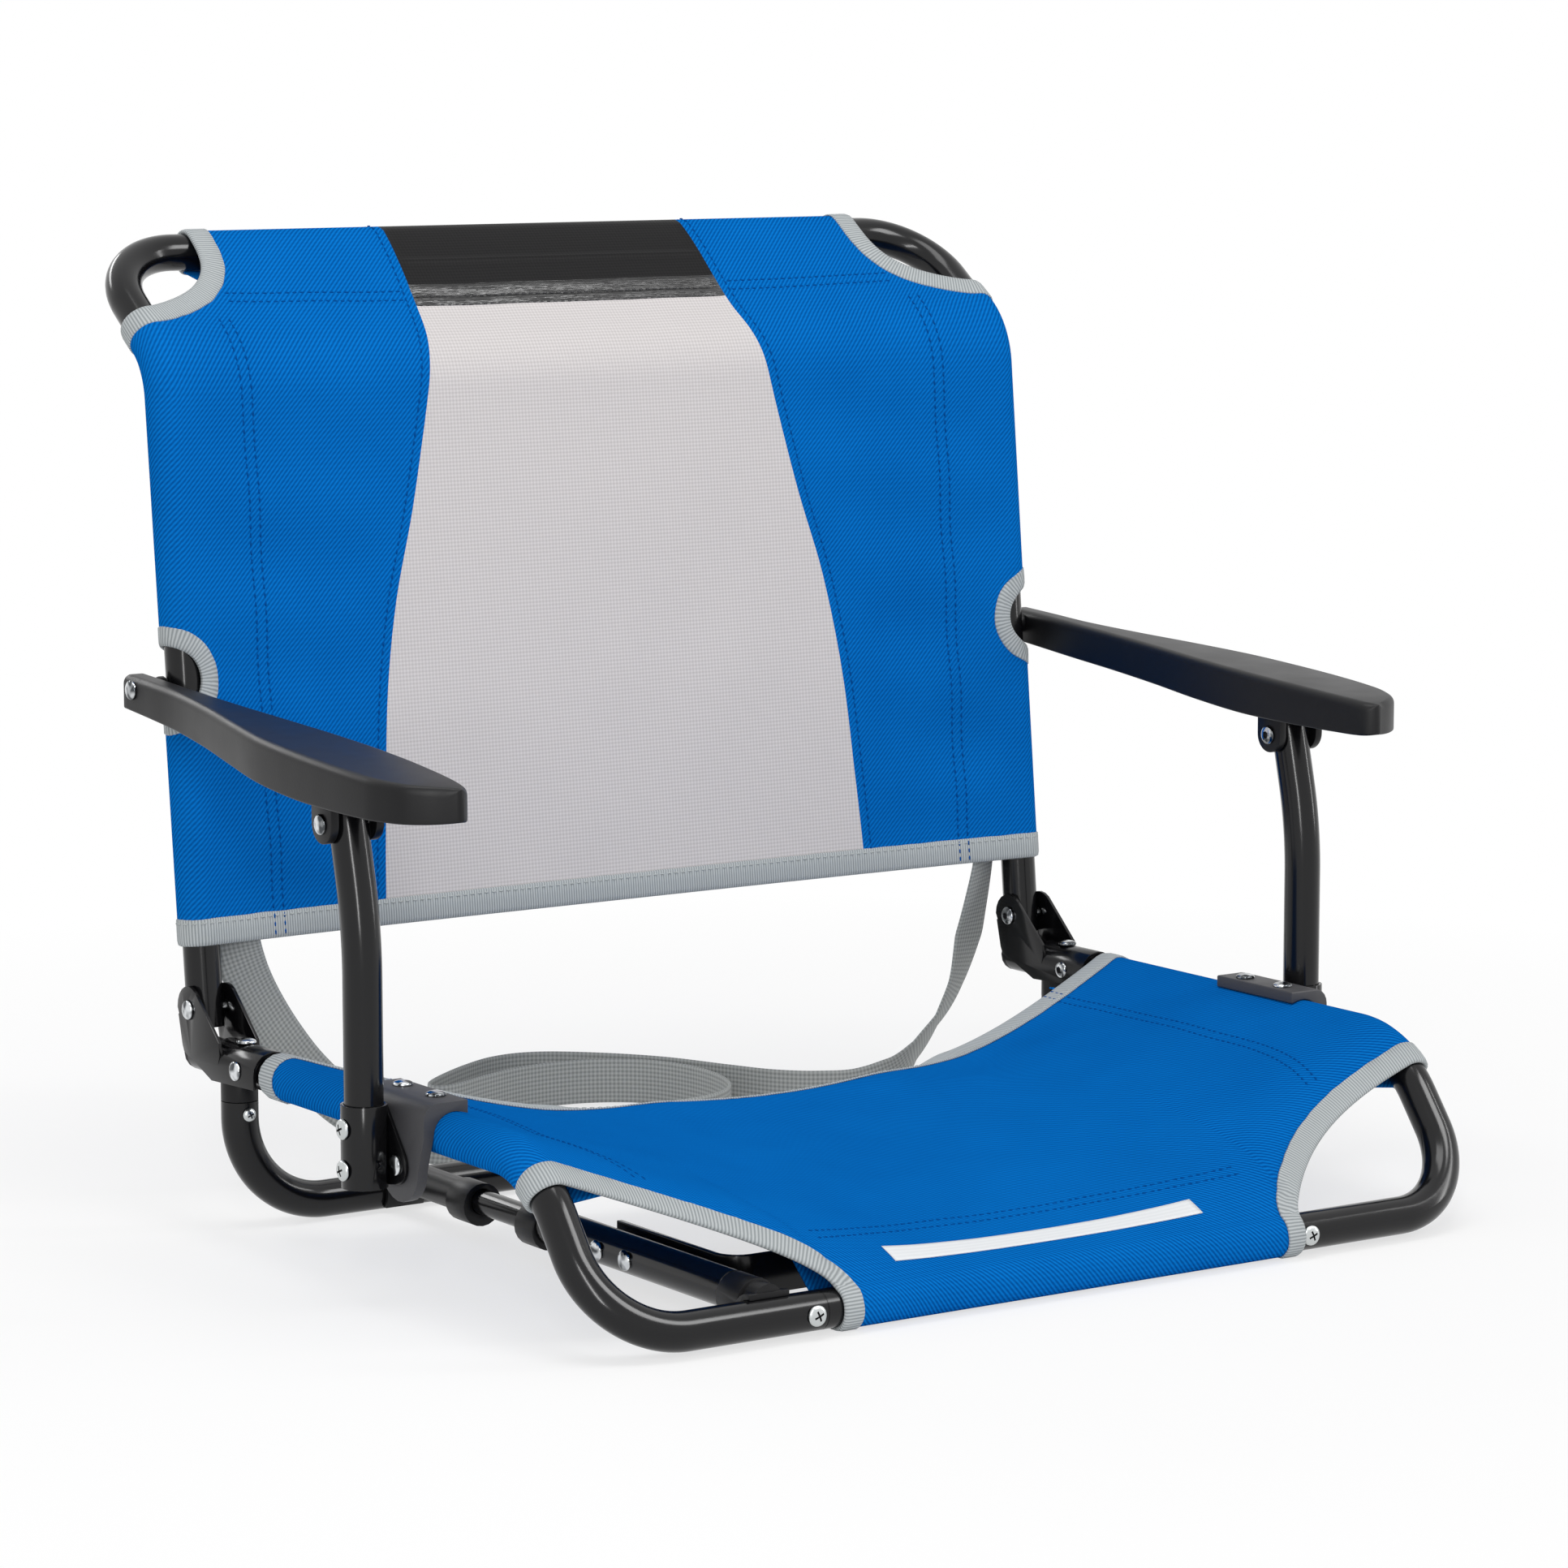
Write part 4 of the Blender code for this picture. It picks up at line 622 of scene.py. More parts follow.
# Knitted polyester mesh: warm pale grey with rows of small faint openings, drawn at 2 mm
mesh_cloth, tree, shader = start_material("knitted_polyester_mesh_grey", "#C6C1BF", 0.75, specular=0.2)
woven_finish(tree, shader, weave(tree, 2.0, 2.0), "#BCB7B7", "#D6D2D2", 0.15)

# Vinyl-coated cloth: dull black with the canvas showing through, drawn at 2 mm
vinyl, tree, shader = start_material("vinyl_coated_cloth_black", "#0F0F10", 0.5, specular=0.12)
woven_finish(tree, shader, weave(tree, 2.0, 2.0), "#030304", "#171617", 0.08)
# Vinyl hem: the same cloth with a bare wet-looking film, streaked along its length by the sewing
vinyl_hem, tree, shader = start_material("vinyl_film_black", "#070708", 0.12, specular=0.7)
chart = add_node(tree, "ShaderNodeUVMap")
pulled = add_node(tree, "ShaderNodeMapping", {"Vector": chart.outputs[0],
                                              "Scale": (1 / 0.04, 1 / 0.0012, 1.0)})
streaks = add_node(tree, "ShaderNodeTexNoise", {"Vector": pulled.outputs[0], "Scale": 1.0, "Detail": 3.0})
add_node(tree, "ShaderNodeBump", {"Height": streaks.outputs["Fac"], "Distance": 1.0 * MM, "Strength": 1.0},
         {0: shader.inputs["Normal"]})


def thicken(piece, name, thickness):
    """Give a thin sheet its thickness in millimetres, half to each side."""
    layer = piece.modifiers.new(name, "SOLIDIFY")
    layer.thickness = thickness * MM
    layer.offset = 0.0


build, home = grid_cloth(2 * HALF, sum(BACK_ROWS), back_place)
middle = BACK_COLUMNS[0]
corner_from = sum(BACK_COLUMNS[:2])
low_rows = BACK_ROWS[0]
HEM_ROWS = round(BACK_ROWS[1] * 15.5 / (TOP_V - VINYL_V))
side_rows = sum(BACK_ROWS[:2])
spare = []
for face in build.faces:
    columns = [abs(home[vert][0] - HALF) for vert in face.verts]
    rows = [home[vert][1] for vert in face.verts]
    if max(rows) > side_rows and max(columns) > corner_from:
        spare.append(face)
    elif max(columns) <= middle:
        face.material_index = 1 if min(rows) < low_rows else 3 if min(rows) < low_rows + HEM_ROWS else 2
chart = build.loops.layers.uv.verify()
flat = {}
for face in build.faces:
    for loop in face.loops:
        flat[loop.vert] = loop[chart].uv / MM
apart = {vert: Vector(((abs(uv[0]) - HOLE_U) / HOLE_SIZE[0], (uv[1] - HOLE_V) / HOLE_SIZE[1]))
         for vert, uv in flat.items()}
inside = {vert for vert, gap in apart.items() if gap.length < 1.0}
spare += [face for face in build.faces if all(vert in inside for vert in face.verts)]
rim = {vert for face in build.faces if any(vert in inside for vert in face.verts)
       and not all(vert in inside for vert in face.verts) for vert in face.verts if vert in inside}
for vert in rim:
    side = -1 if flat[vert][0] < 0 else 1
    gap = apart[vert].normalized()
    vert.co = back_spot(side * (HOLE_U + gap[0] * HOLE_SIZE[0]), HOLE_V + gap[1] * HOLE_SIZE[1], CLOTH_LIFT)
bmesh.ops.delete(build, geom=list(set(spare)), context="FACES")
bmesh.ops.recalc_face_normals(build, faces=build.faces)
cloths = (blue_cloth, mesh_cloth, vinyl, vinyl_hem)
back_sling = show("back_sling", build, cloths, "back", "blue_cloth", "back_cover")
thicken(back_sling, "cloth_thickness", CLOTH)

# Back bindings. Folded 25 mm grosgrain tape is sewn over every raw edge of the back: along the hem,
# round the two cut corners and round the two arm openings.
TAPE = 12.5
TAPE_LAYER = 0.7

# Grosgrain tape: mid grey with low ribs across its length, drawn at 1.5 mm, lighter along each rib's top
grosgrain, tree, shader = start_material("polyester_grosgrain_grey", "#8F9595", 0.7, specular=0.2)
chart = add_node(tree, "ShaderNodeUVMap")
place = add_node(tree, "ShaderNodeSeparateXYZ", {0: chart.outputs[0]})
turn = add_node(tree, "ShaderNodeMath", {0: place.outputs["X"], 1: 2 * math.pi / (1.5 * MM)},
                operation="MULTIPLY")
wave = add_node(tree, "ShaderNodeMath", {0: turn.outputs[0]}, operation="SINE")
ribs = add_node(tree, "ShaderNodeMath", {0: wave.outputs[0], 1: 0.5, 2: 0.5}, operation="MULTIPLY_ADD")
woven_finish(tree, shader, ribs.outputs[0], "#8A9092", "#BABFC1", 0.12)


def even(points, step):
    """Return the points of a flat line again, evenly spaced about one step apart."""
    reach = [0.0]
    for before, after in zip(points, points[1:]):
        reach.append(reach[-1] + (Vector(after) - Vector(before)).length)
    count = max(3, round(reach[-1] / step))
    line = []
    index = 0
    for number in range(count + 1):
        goal = reach[-1] * number / count
        while index < len(points) - 2 and reach[index + 1] < goal:
            index += 1
        part = (goal - reach[index]) / max(1e-9, reach[index + 1] - reach[index])
        line.append(Vector(points[index]).lerp(Vector(points[index + 1]), part))
    return line


def rounded(line, times, closed=False):
    """Return a flat line with its sharp turns eased by averaging neighbours."""
    for _ in range(times):
        last = len(line) - 1
        line = [line[k] if not closed and k in (0, last)
                else (line[k - 1] + line[k] * 2 + line[(k + 1) % len(line)]) / 4 for k in range(len(line))]
    return line


def binding(name, line, inward, surface, body, closed=False, width=TAPE):
    """Fold a tape over an edge of a cloth, given as a flat line with the cloth on its inward side."""
    count = len(line)
    # share of the tape's width in from the edge, and height over the cloth
    section = ((1.0, 0.55), (0.97, 1.1), (0.5, 1.15), (0.12, 1.15), (-0.03, 0.8), (-0.06, 0.0),
               (-0.03, -0.8), (0.12, -1.15), (0.5, -1.15), (0.97, -1.1), (1.0, -0.55))
    seed = sum(ord(letter) for letter in name)

    def place(column, row):
        here = line[column % count]
        ahead = line[(column + 1) % count] if closed or column < count - 1 else here
        behind = line[column - 1] if closed or column > 0 else here
        way = (ahead - behind).normalized()
        normal = Vector((-way[1], way[0])) * inward
        share, lift = section[row]
        wander = 0.5 * noise.noise(Vector((column * 0.31, seed, 0.0))) * max(0.0, share)
        pucker = 0.35 * noise.noise(Vector((column * 0.55, seed, 5.0))) * max(0.0, share)
        flat = here + normal * (share * width + wander)
        side = 1 if lift > 0 else -1
        return surface(flat[0], flat[1], lift + side * abs(pucker)), (column * step_along, share * width)

    spans = [(line[(k + 1) % count] - line[k]).length for k in range(count if closed else count - 1)]
    step_along = sum(spans) / len(spans)
    build, home = grid_cloth(len(spans), len(section) - 1, place)
    bmesh.ops.remove_doubles(build, verts=build.verts, dist=0.02 * MM)
    bmesh.ops.recalc_face_normals(build, faces=build.faces)
    piece = show(name, build, grosgrain, body, "grey_web", angle=60.0)
    thicken(piece, "tape_thickness", TAPE_LAYER)
    return piece


hem_reach = RAIL_X + BACK_WRAP
hem = even([(-hem_reach, HEM_V), (hem_reach, HEM_V)], 4.0)
binding("back_hem_binding", hem, 1, back_spot, "back")
for word, side in SIDES:
    corner = [(side * TOP_HALF, TOP_V + BACK_WRAP * (1 - k / 12)) for k in range(13)]
    for k in range(1, 41):
        x = TOP_HALF + (RAIL_X - TOP_HALF) * (k / 40) ** 3
        corner.append((side * x, back_edge(x)))
    corner += [(side * (RAIL_X + BACK_WRAP * k / 12), CORNER_V) for k in range(1, 13)]
    line = rounded(even(corner, 2.5), 6)
    binding(word + "_corner_binding", line, -side, back_spot, "back", width=11.5)
    oval = [(side * (HOLE_U + HOLE_SIZE[0] * math.cos(angle)), HOLE_V + HOLE_SIZE[1] * math.sin(angle))
            for angle in [k * math.pi / 48 for k in range(97)]]
    line = even(oval, 2.5)[:-1]
    binding(word + "_arm_opening_binding", line, -side, back_spot, "back", closed=True,
                               width=9.0)

# Back stitching. Two rows of polyester thread hold each side sleeve, the top sleeve and the vinyl's
# hem, single rows hold the tapes and the panel seams, and the side rows run on over the hem's tape.
STITCH = 3.2
STITCH_STEP = 4.4


def thread_material(name, color, roughness, specular=0.5):
    """Return a sewing thread's material, with the uneven surface of twisted fibres."""
    material, tree, shader = start_material(name, color, roughness, specular=specular)
    place = add_node(tree, "ShaderNodeTexCoord")
    fibres = add_node(tree, "ShaderNodeTexNoise", {"Vector": place.outputs["Object"], "Scale": 1 / (0.8 * MM),
                                                   "Detail": 2.0})
    add_node(tree, "ShaderNodeBump", {"Height": fibres.outputs["Fac"], "Distance": 0.1 * MM, "Strength": 0.5},
             {0: shader.inputs["Normal"]})
    return material


# Sewing thread: blue a shade darker than the cloth, grey on the tapes and black on the vinyl
blue_thread = thread_material("polyester_thread_blue", "#084C92", 0.9, specular=0.0)
grey_thread = thread_material("polyester_thread_grey", "#A9AEAE", 0.7)
black_thread = thread_material("polyester_thread_black", "#26262A", 0.6)


def sew(name, lines, surface, lift, thread, body, slot, thick=0.42):
    """Lay stitches along flat lines on a cloth, each a small bead half sunk in the surface."""
    build = bmesh.new()
    for line in lines:
        for here, on in zip(even(line, STITCH_STEP), even(line, STITCH_STEP)[1:]):
            way = (on - here).normalized()
            start = surface(*(here - way * STITCH / 2), lift)
            end = surface(*(here + way * STITCH / 2), lift)
            out = surface(*here, lift + 1.0) - surface(*here, lift)
            run = end - start
            side = out.cross(run).normalized()
            out = run.cross(side).normalized()
            turn = Matrix((run / 2, side * thick * 1.4 * MM, out * thick * MM)).transposed().to_4x4()
            bmesh.ops.create_icosphere(build, subdivisions=1, radius=1.0,
                                       matrix=Matrix.Translation((start + end) / 2) @ turn)
    return show(name, build, thread, body, slot, angle=80.0)


SIDE_SEAM = (213.5, 219.5)
blue_rows = []
seam_rows = []
vinyl_rows = []
tape_rows = [[(-hem_reach, HEM_V + TAPE - 2.0), (hem_reach, HEM_V + TAPE - 2.0)]]
for side in (-1, 1):
    for x in SIDE_SEAM:
        blue_rows.append([(side * x, HEM_V + TAPE + 3), (side * x, CORNER_V - 3)])
    for v in (TOP_V - 50.4, TOP_V - 44.4):
        blue_rows.append([(side * (follow(PANEL_EDGE, v) + 8), v), (side * 211.0, v)])
    seam = [HEM_V + TAPE + (VINYL_V - HEM_V - TAPE) * k / 30 for k in range(31)]
    seam_rows.append([(side * (follow(PANEL_EDGE, v) + 5.0), v) for v in seam])
    edge = [VINYL_V + (TOP_V + 20 - VINYL_V) * k / 12 for k in range(13)]
    seam_rows.append([(side * (follow(PANEL_EDGE, v) + 5.0), v) for v in edge])
for v in (VINYL_V + 0.6, VINYL_V + 6.5):
    vinyl_rows.append([(-follow(PANEL_EDGE, v) + 3, v), (follow(PANEL_EDGE, v) - 3, v)])
sew("back_sleeve_stitches", blue_rows + seam_rows, back_spot, 0.85, blue_thread, "back",
                       "blue_cloth")
sew("vinyl_hem_stitches", vinyl_rows, back_spot, 0.5, black_thread, "back", "blue_cloth")
sew("back_tape_stitches", tape_rows, back_spot, 1.5, grey_thread, "back", "grey_web")
tacks = [[(side * x, HEM_V + 2), (side * x, HEM_V + TAPE + 2)] for side in (-1, 1) for x in SIDE_SEAM]
sew("back_bar_tacks", tacks, back_spot, 1.4, blue_thread, "back", "blue_cloth")

# Seat sling. One sheet of the same blue cloth, sewn round both rails and the front bar. It hangs from
# the rails in a shallow trough and its rear edge is cut in a curve.
SEAT_REAR = 78.0
SEAT_SCOOP = 45.0
SEAT_HIGH = 51.55
FRONT_HALF = 143.0
FRONT_POWER = 3.2
SEAT_LEAN = math.atan(88.0 / RAIL_X)
FRONT_LEAN = math.atan(FRONT_POWER * 30.0 / 302.0)
PANEL_HALF = RAIL_X - SLEEVE_R * math.sin(SEAT_LEAN)
FRONT_TOUCH = FRONT_BAR[0] + SLEEVE_R * math.sin(FRONT_LEAN)
SEAT_LOW = FRONT_BAR[1] + SLEEVE_R * math.cos(FRONT_LEAN)
RAIL_FALL = math.atan((RAIL_Z - FRONT_BAR[1]) / (FRONT_BAR[0] - RAIL_CORNER))
BEND_AT = RAIL_CORNER - RAIL_BEND_R * math.tan(RAIL_FALL / 2)
SIDE_FRONT = 339.0
UNDER = 2.1
SEAT_UNDER = 1.6
PRESSED_Z = 0.6
SEAT_FLAP_Z = SLEEVE_R - FLAP * math.tan(SEAT_LEAN) - SEAT_UNDER
SEAT_TURN = wrap_end(-FLAP, SEAT_FLAP_Z)
SEAT_FLAP = math.sqrt(FLAP ** 2 + SEAT_FLAP_Z ** 2 - SLEEVE_R ** 2)
SEAT_WRAP = SLEEVE_R * (SEAT_TURN + SEAT_LEAN)


def seat_middle(ahead):
    """Return the height of the seat's middle line."""
    share = max(0.0, (ahead - SEAT_REAR) / (FRONT_TOUCH - SEAT_REAR))
    return SEAT_HIGH + (SEAT_LOW - SEAT_HIGH) * share ** FRONT_POWER


FRONT_FLAP_Z = seat_middle(FRONT_BAR[0] - FLAP) - UNDER - FRONT_BAR[1]
FRONT_TURN = wrap_end(-FLAP, FRONT_FLAP_Z)
FRONT_WRAP = SLEEVE_R * (FRONT_TURN - FRONT_LEAN)
FRONT_FLAP = math.sqrt(FLAP ** 2 + FRONT_FLAP_Z ** 2 - SLEEVE_R ** 2)


def beyond_sleeve(x):
    """Return how far x is on the way from the front sleeve's end to the rail, from 0 to 1."""
    return min(1.0, max(0.0, (abs(x) - FRONT_HALF) / (PANEL_HALF - FRONT_HALF)))


def seat_front(x):
    """Return how far ahead the cloth reaches at x."""
    return SIDE_FRONT + (FRONT_TOUCH - SIDE_FRONT) * (1 - beyond_sleeve(x)) ** 2.65


def seat_rear(x):
    """Return how far ahead the cloth's curved rear edge is at x."""
    return SEAT_REAR + SEAT_SCOOP * (1 - min(1.0, abs(x) / PANEL_HALF) ** 2)


def rail_spot(ahead, up, out):
    """Return (ahead, z) beside the rail where its covered top edge reaches so far ahead."""
    bend = min(RAIL_FALL, math.asin(min(1.0, max(0.0, (ahead - BEND_AT) / (RAIL_BEND_R + up)))))
    run = min(ahead, BEND_AT)
    reach = RAIL_BEND_R + out
    return run + reach * math.sin(bend), RAIL_Z - RAIL_BEND_R + reach * math.cos(bend)


EDGE_UP = SLEEVE_R * math.cos(SEAT_LEAN)
EDGE_REAR = RAIL_Z + EDGE_UP
EDGE_FRONT = rail_spot(SIDE_FRONT, EDGE_UP, EDGE_UP)[1]


def seat_height(x, ahead):
    """Return the height of the hanging seat at a place between the rails."""
    reach = min(1.0, abs(x) / PANEL_HALF) ** 2
    rear, front = seat_rear(x), seat_front(x)
    rear_z = SEAT_HIGH + (EDGE_REAR - SEAT_HIGH) * reach
    front_z = SEAT_LOW + (EDGE_FRONT - SEAT_LOW) * beyond_sleeve(x) ** 0.7
    share = min(1.03, max(-0.03, (ahead - rear) / (front - rear)))
    edge = rail_spot(SEAT_REAR + (SIDE_FRONT - SEAT_REAR) * share, EDGE_UP, EDGE_UP)[1]
    way = max(0.0, (ahead - SEAT_REAR) / (front - SEAT_REAR))
    fall = way ** FRONT_POWER * (1 - reach) + (EDGE_REAR - edge) / (EDGE_REAR - EDGE_FRONT) * reach
    wrinkle = 1.1 * noise.noise(Vector((x / 70, ahead / 45, 1.0)))
    wrinkle += 0.5 * noise.noise(Vector((x / 28, ahead / 30, 7.0)))
    settle = ease(0, 60, ahead - rear) * ease(0, 60, front - ahead) * (1 - reach ** 4)
    # the free rear edge stands a little proud in the middle and rolls down over its last 20 mm
    slack = 5.5 - 8.0 * ease(60, 135, abs(x)) + 2.5 * ease(140, 235, abs(x))
    roll = 9.0 * max(0.0, 1 - max(0.0, ahead - rear) / 20.0) ** 2 * (1 - ease(85, 125, abs(x)))
    return (rear_z + (front_z - rear_z) * fall + wrinkle * settle
            + slack * (1 - ease(10, 90, ahead - rear)) - roll)


def drawn_in(u, w):
    """Return how far the front sleeve's left end is pulled to the middle; it isn't sewn quite evenly."""
    return 11.0 * ease(60, FRONT_HALF, -u) * (1 - ease(FRONT_HALF, 235, -u)) * ease(300, FRONT_TOUCH, w)


def seat_spot(u, w, lift=0.0):
    """Return the point of the seat cloth at u across and w along, raised from its surface by lift."""
    side = -1 if u < 0 else 1
    x = abs(u)
    pull = drawn_in(u, w)
    if w > FRONT_TOUCH and x <= FRONT_HALF + 1:
        angle = FRONT_LEAN + (w - FRONT_TOUCH) / SLEEVE_R
        past = 0.0
        if angle > FRONT_TURN:
            past = (angle - FRONT_TURN) * SLEEVE_R
            angle = FRONT_TURN
        radius = SLEEVE_R + lift
        # the sleeve is pressed flat where it stands on the bench
        z = max(PRESSED_Z, FRONT_BAR[1] + radius * math.cos(angle) - past * math.sin(angle))
        return spot(u + pull, FRONT_BAR[0] + radius * math.sin(angle) + past * math.cos(angle), z)
    if x <= PANEL_HALF:
        z = seat_height(x, w)
        slope_x = math.tan(SEAT_LEAN)
        if x < PANEL_HALF - 1:
            slope_x = seat_height(x + 0.5, w) - seat_height(x - 0.5, w)
        slope_w = seat_height(x, w + 0.5) - seat_height(x, w - 0.5)
        normal = Vector((-slope_x, -slope_w, 1.0)).normalized() * lift
        return spot(side * (x + normal[0]) + pull, w + normal[1], z + normal[2])
    angle = min((x - PANEL_HALF) / SLEEVE_R - SEAT_LEAN, SEAT_TURN)
    past = x - PANEL_HALF - (angle + SEAT_LEAN) * SLEEVE_R
    radius = SLEEVE_R + lift
    across = radius * math.sin(angle) + past * math.cos(angle)
    ahead, z = rail_spot(w, EDGE_UP, radius * math.cos(angle) - past * math.sin(angle))
    return spot(side * (RAIL_X + across), ahead, z)


# columns from the middle outwards: front sleeve's width, corner, round the rail, flap; rows likewise
SEAT_COLUMNS = (34, 26, 18, 6)
SEAT_ROWS = (90, 20, 6)
SEAT_SPAN = sum(SEAT_COLUMNS)


def seat_place(column, row):
    """Return the seat cloth's point and flat position for a place in its grid."""
    count = abs(column - SEAT_SPAN)
    side = -1 if column < SEAT_SPAN else 1
    middle, corner, wrap, flap = SEAT_COLUMNS
    panel, front_wrap, front_flap = SEAT_ROWS
    if count <= middle:
        u = FRONT_HALF * count / middle
    elif count <= middle + corner:
        u = FRONT_HALF + (PANEL_HALF - FRONT_HALF) * ((count - middle) / corner) ** 1.3
    elif count <= middle + corner + wrap:
        u = PANEL_HALF + SEAT_WRAP * (count - middle - corner) / wrap
    else:
        u = PANEL_HALF + SEAT_WRAP + SEAT_FLAP * (count - middle - corner - wrap) / flap
    if row <= panel:
        share = row / panel
        share = share + 0.35 * (share - share * share) * share
        w = seat_rear(u) + (seat_front(u) - seat_rear(u)) * share
    elif row <= panel + front_wrap:
        w = FRONT_TOUCH + FRONT_WRAP * (row - panel) / front_wrap
    else:
        w = FRONT_TOUCH + FRONT_WRAP + FRONT_FLAP * (row - panel - front_wrap) / front_flap
    return seat_spot(side * u, w), (side * u, w)


build, home = grid_cloth(2 * SEAT_SPAN, sum(SEAT_ROWS), seat_place)
spare = [face for face in build.faces if max(home[vert][1] for vert in face.verts) > SEAT_ROWS[0]
         and max(abs(home[vert][0] - SEAT_SPAN) for vert in face.verts) > SEAT_COLUMNS[0]]
bmesh.ops.delete(build, geom=spare, context="FACES")
bmesh.ops.recalc_face_normals(build, faces=build.faces)
seat_sling = show("seat_sling", build, blue_cloth, "seat", "blue_cloth", "seat_cover")
thicken(seat_sling, "cloth_thickness", CLOTH)

# Seat bindings and stitching. The same grey tape folds over the rear edge and the two front corners,
# and double rows of blue thread close the rail sleeves and the front sleeve.
# the inner row of the rail sleeve's seam as (ahead, x)
RAIL_SEAM = ((104, 205), (227, 207.8), (253, 209.4), (284, 207), (307, 203.5), (321, 200.6), (330, 199))
SEAM_GAP = 6.0
reach = PANEL_HALF + SEAT_WRAP
rear = [(-reach, SEAT_REAR)]
rear += [(PANEL_HALF * k / 60, seat_rear(PANEL_HALF * k / 60)) for k in range(-60, 61)]
rear += [(reach, SEAT_REAR)]
binding("seat_rear_binding", even(rear, 4.0), 1, seat_spot, "seat")
for word, side in SIDES:
    corner = [(side * FRONT_HALF, FRONT_TOUCH + FRONT_WRAP * (1 - k / 12)) for k in range(13)]
    for k in range(1, 41):
        x = FRONT_HALF + (PANEL_HALF - FRONT_HALF) * (k / 40) ** 1.5
        corner.append((side * x, seat_front(x)))
    corner += [(side * (PANEL_HALF + SEAT_WRAP * k / 12), SIDE_FRONT) for k in range(1, 13)]
    line = rounded(even(corner, 2.5), 4)
    binding(word + "_seat_corner_binding", line, -side, seat_spot, "seat", width=10.0)
seat_rows = []
for gap in (0.0, SEAM_GAP):
    seat_rows.append([(x, 340.0 + gap + 11.5 * (x / 138.0) ** 2) for x in range(-132, 133, 6)])
    for side in (-1, 1):
        seat_rows.append([(side * (follow(RAIL_SEAM, w) + gap), w) for w in range(104, 329, 6)])
sew("seat_sleeve_stitches", seat_rows, seat_spot, 0.5, blue_thread, "seat", "blue_cloth")
tacks = [[(side * x, seat_rear(x) + 1.5), (side * x, seat_rear(x) + TAPE + 1.5)]
         for side in (-1, 1) for x in (RAIL_SEAM[0][1], RAIL_SEAM[0][1] + SEAM_GAP)]
sew("seat_bar_tacks", tacks, seat_spot, 1.4, blue_thread, "seat", "blue_cloth")
tape_line = [(x, seat_rear(x) + TAPE - 2.0) for x in range(-250, 251, 5)]
sew("seat_tape_stitches", [tape_line], seat_spot, 1.5, grey_thread, "seat", "grey_web")

# Label. A narrow strip of plain white satin, woven in polyester. It is sewn flat on the seat cloth just
# behind the front bar and follows the cloth's curve.
LABEL = (-97.0, 92.0, 363.0, 373.9)
LABEL_GRID = (64, 8)
LABEL_THICK = 0.4
# Woven label: bright satin white with fine threads along it, drawn at 1.2 mm
white_label, tree, shader = start_material("woven_satin_label_white", "#E4E6E8", 0.5)
woven_finish(tree, shader, weave(tree, 1.2, 2.4), "#D8DBDD", "#E6E8EA", 0.05, 0.4)


def label_place(column, row):
    """Return the label's point and flat position for a place in its grid."""
    u = LABEL[0] + (LABEL[1] - LABEL[0]) * column / LABEL_GRID[0]
    w = LABEL[2] + (LABEL[3] - LABEL[2]) * row / LABEL_GRID[1]
    return seat_spot(u, w, 0.75), (u, w)


build, home = grid_cloth(*LABEL_GRID, label_place)
bmesh.ops.recalc_face_normals(build, faces=build.faces)
label = show("front_label", build, white_label, "seat", "grey_web")
thicken(label, "label_thickness", LABEL_THICK)

# Arm clamps. Thick moulded saddles that hook over the covered rails from outside, dull dark grey, each
# with a leg that carries the pivot of the arm support.
# Glass-filled nylon: dull dark grey with a coarse moulded grain
clamp_nylon, tree, shader = start_material("glass_filled_nylon_grey", "#39393C", 0.55)
hard_finish(tree, shader, 0.48, 0.62, cloud=8.0, grain=1.1, depth=0.08, strength=0.6)
for word in ("left", "right"):
    soften(word + "_clamp_block", word + "_arm_clamp", clamp_nylon, "seat", "clamp_grey", 2.0, 4)

# Arm supports. Gently bent 19 mm tubes, each held by a wrapped steel bracket whose flange turns on the
# clamp's pin, all powder coated.
SUPPORT_X = 286.8
SUPPORT_FOOT = 57.3
SUPPORT_PAST = 8.0
SUPPORT_BEND_R = 200.0
SUPPORT_BEND = (212.5, 180.5)
ARM_FRONT = (200.5, 230.5)
for word, sign in SIDES:
    rise = Vector((ARM_FRONT[0] - SUPPORT_BEND[0], ARM_FRONT[1] - SUPPORT_BEND[1])).normalized()
    rise *= SUPPORT_PAST
    post = [spot(sign * SUPPORT_X, SUPPORT_BEND[0], SUPPORT_FOOT), spot(sign * SUPPORT_X, *SUPPORT_BEND),
            spot(sign * SUPPORT_X, ARM_FRONT[0] + rise[0], ARM_FRONT[1] + rise[1])]
    post_path = bent_path(post, (SUPPORT_BEND_R,), math.radians(1.0))
    show(word + "_support_post", tube_shape(post_path), powder_coat, word + "_support", "black_coat",
         word + "_support_tube")
    soften(word + "_support_clasp", word + "_support_bracket", powder_coat, word + "_support", "black_coat",
           0.35, 2)

# Armrests. Moulded in satin black, hollow below, with a solid rear end on the back's pivot pin and two
# ears round the top of the support.
ARM_REAR = (-20.0, 270.5)
ARM_BASE = 272.0
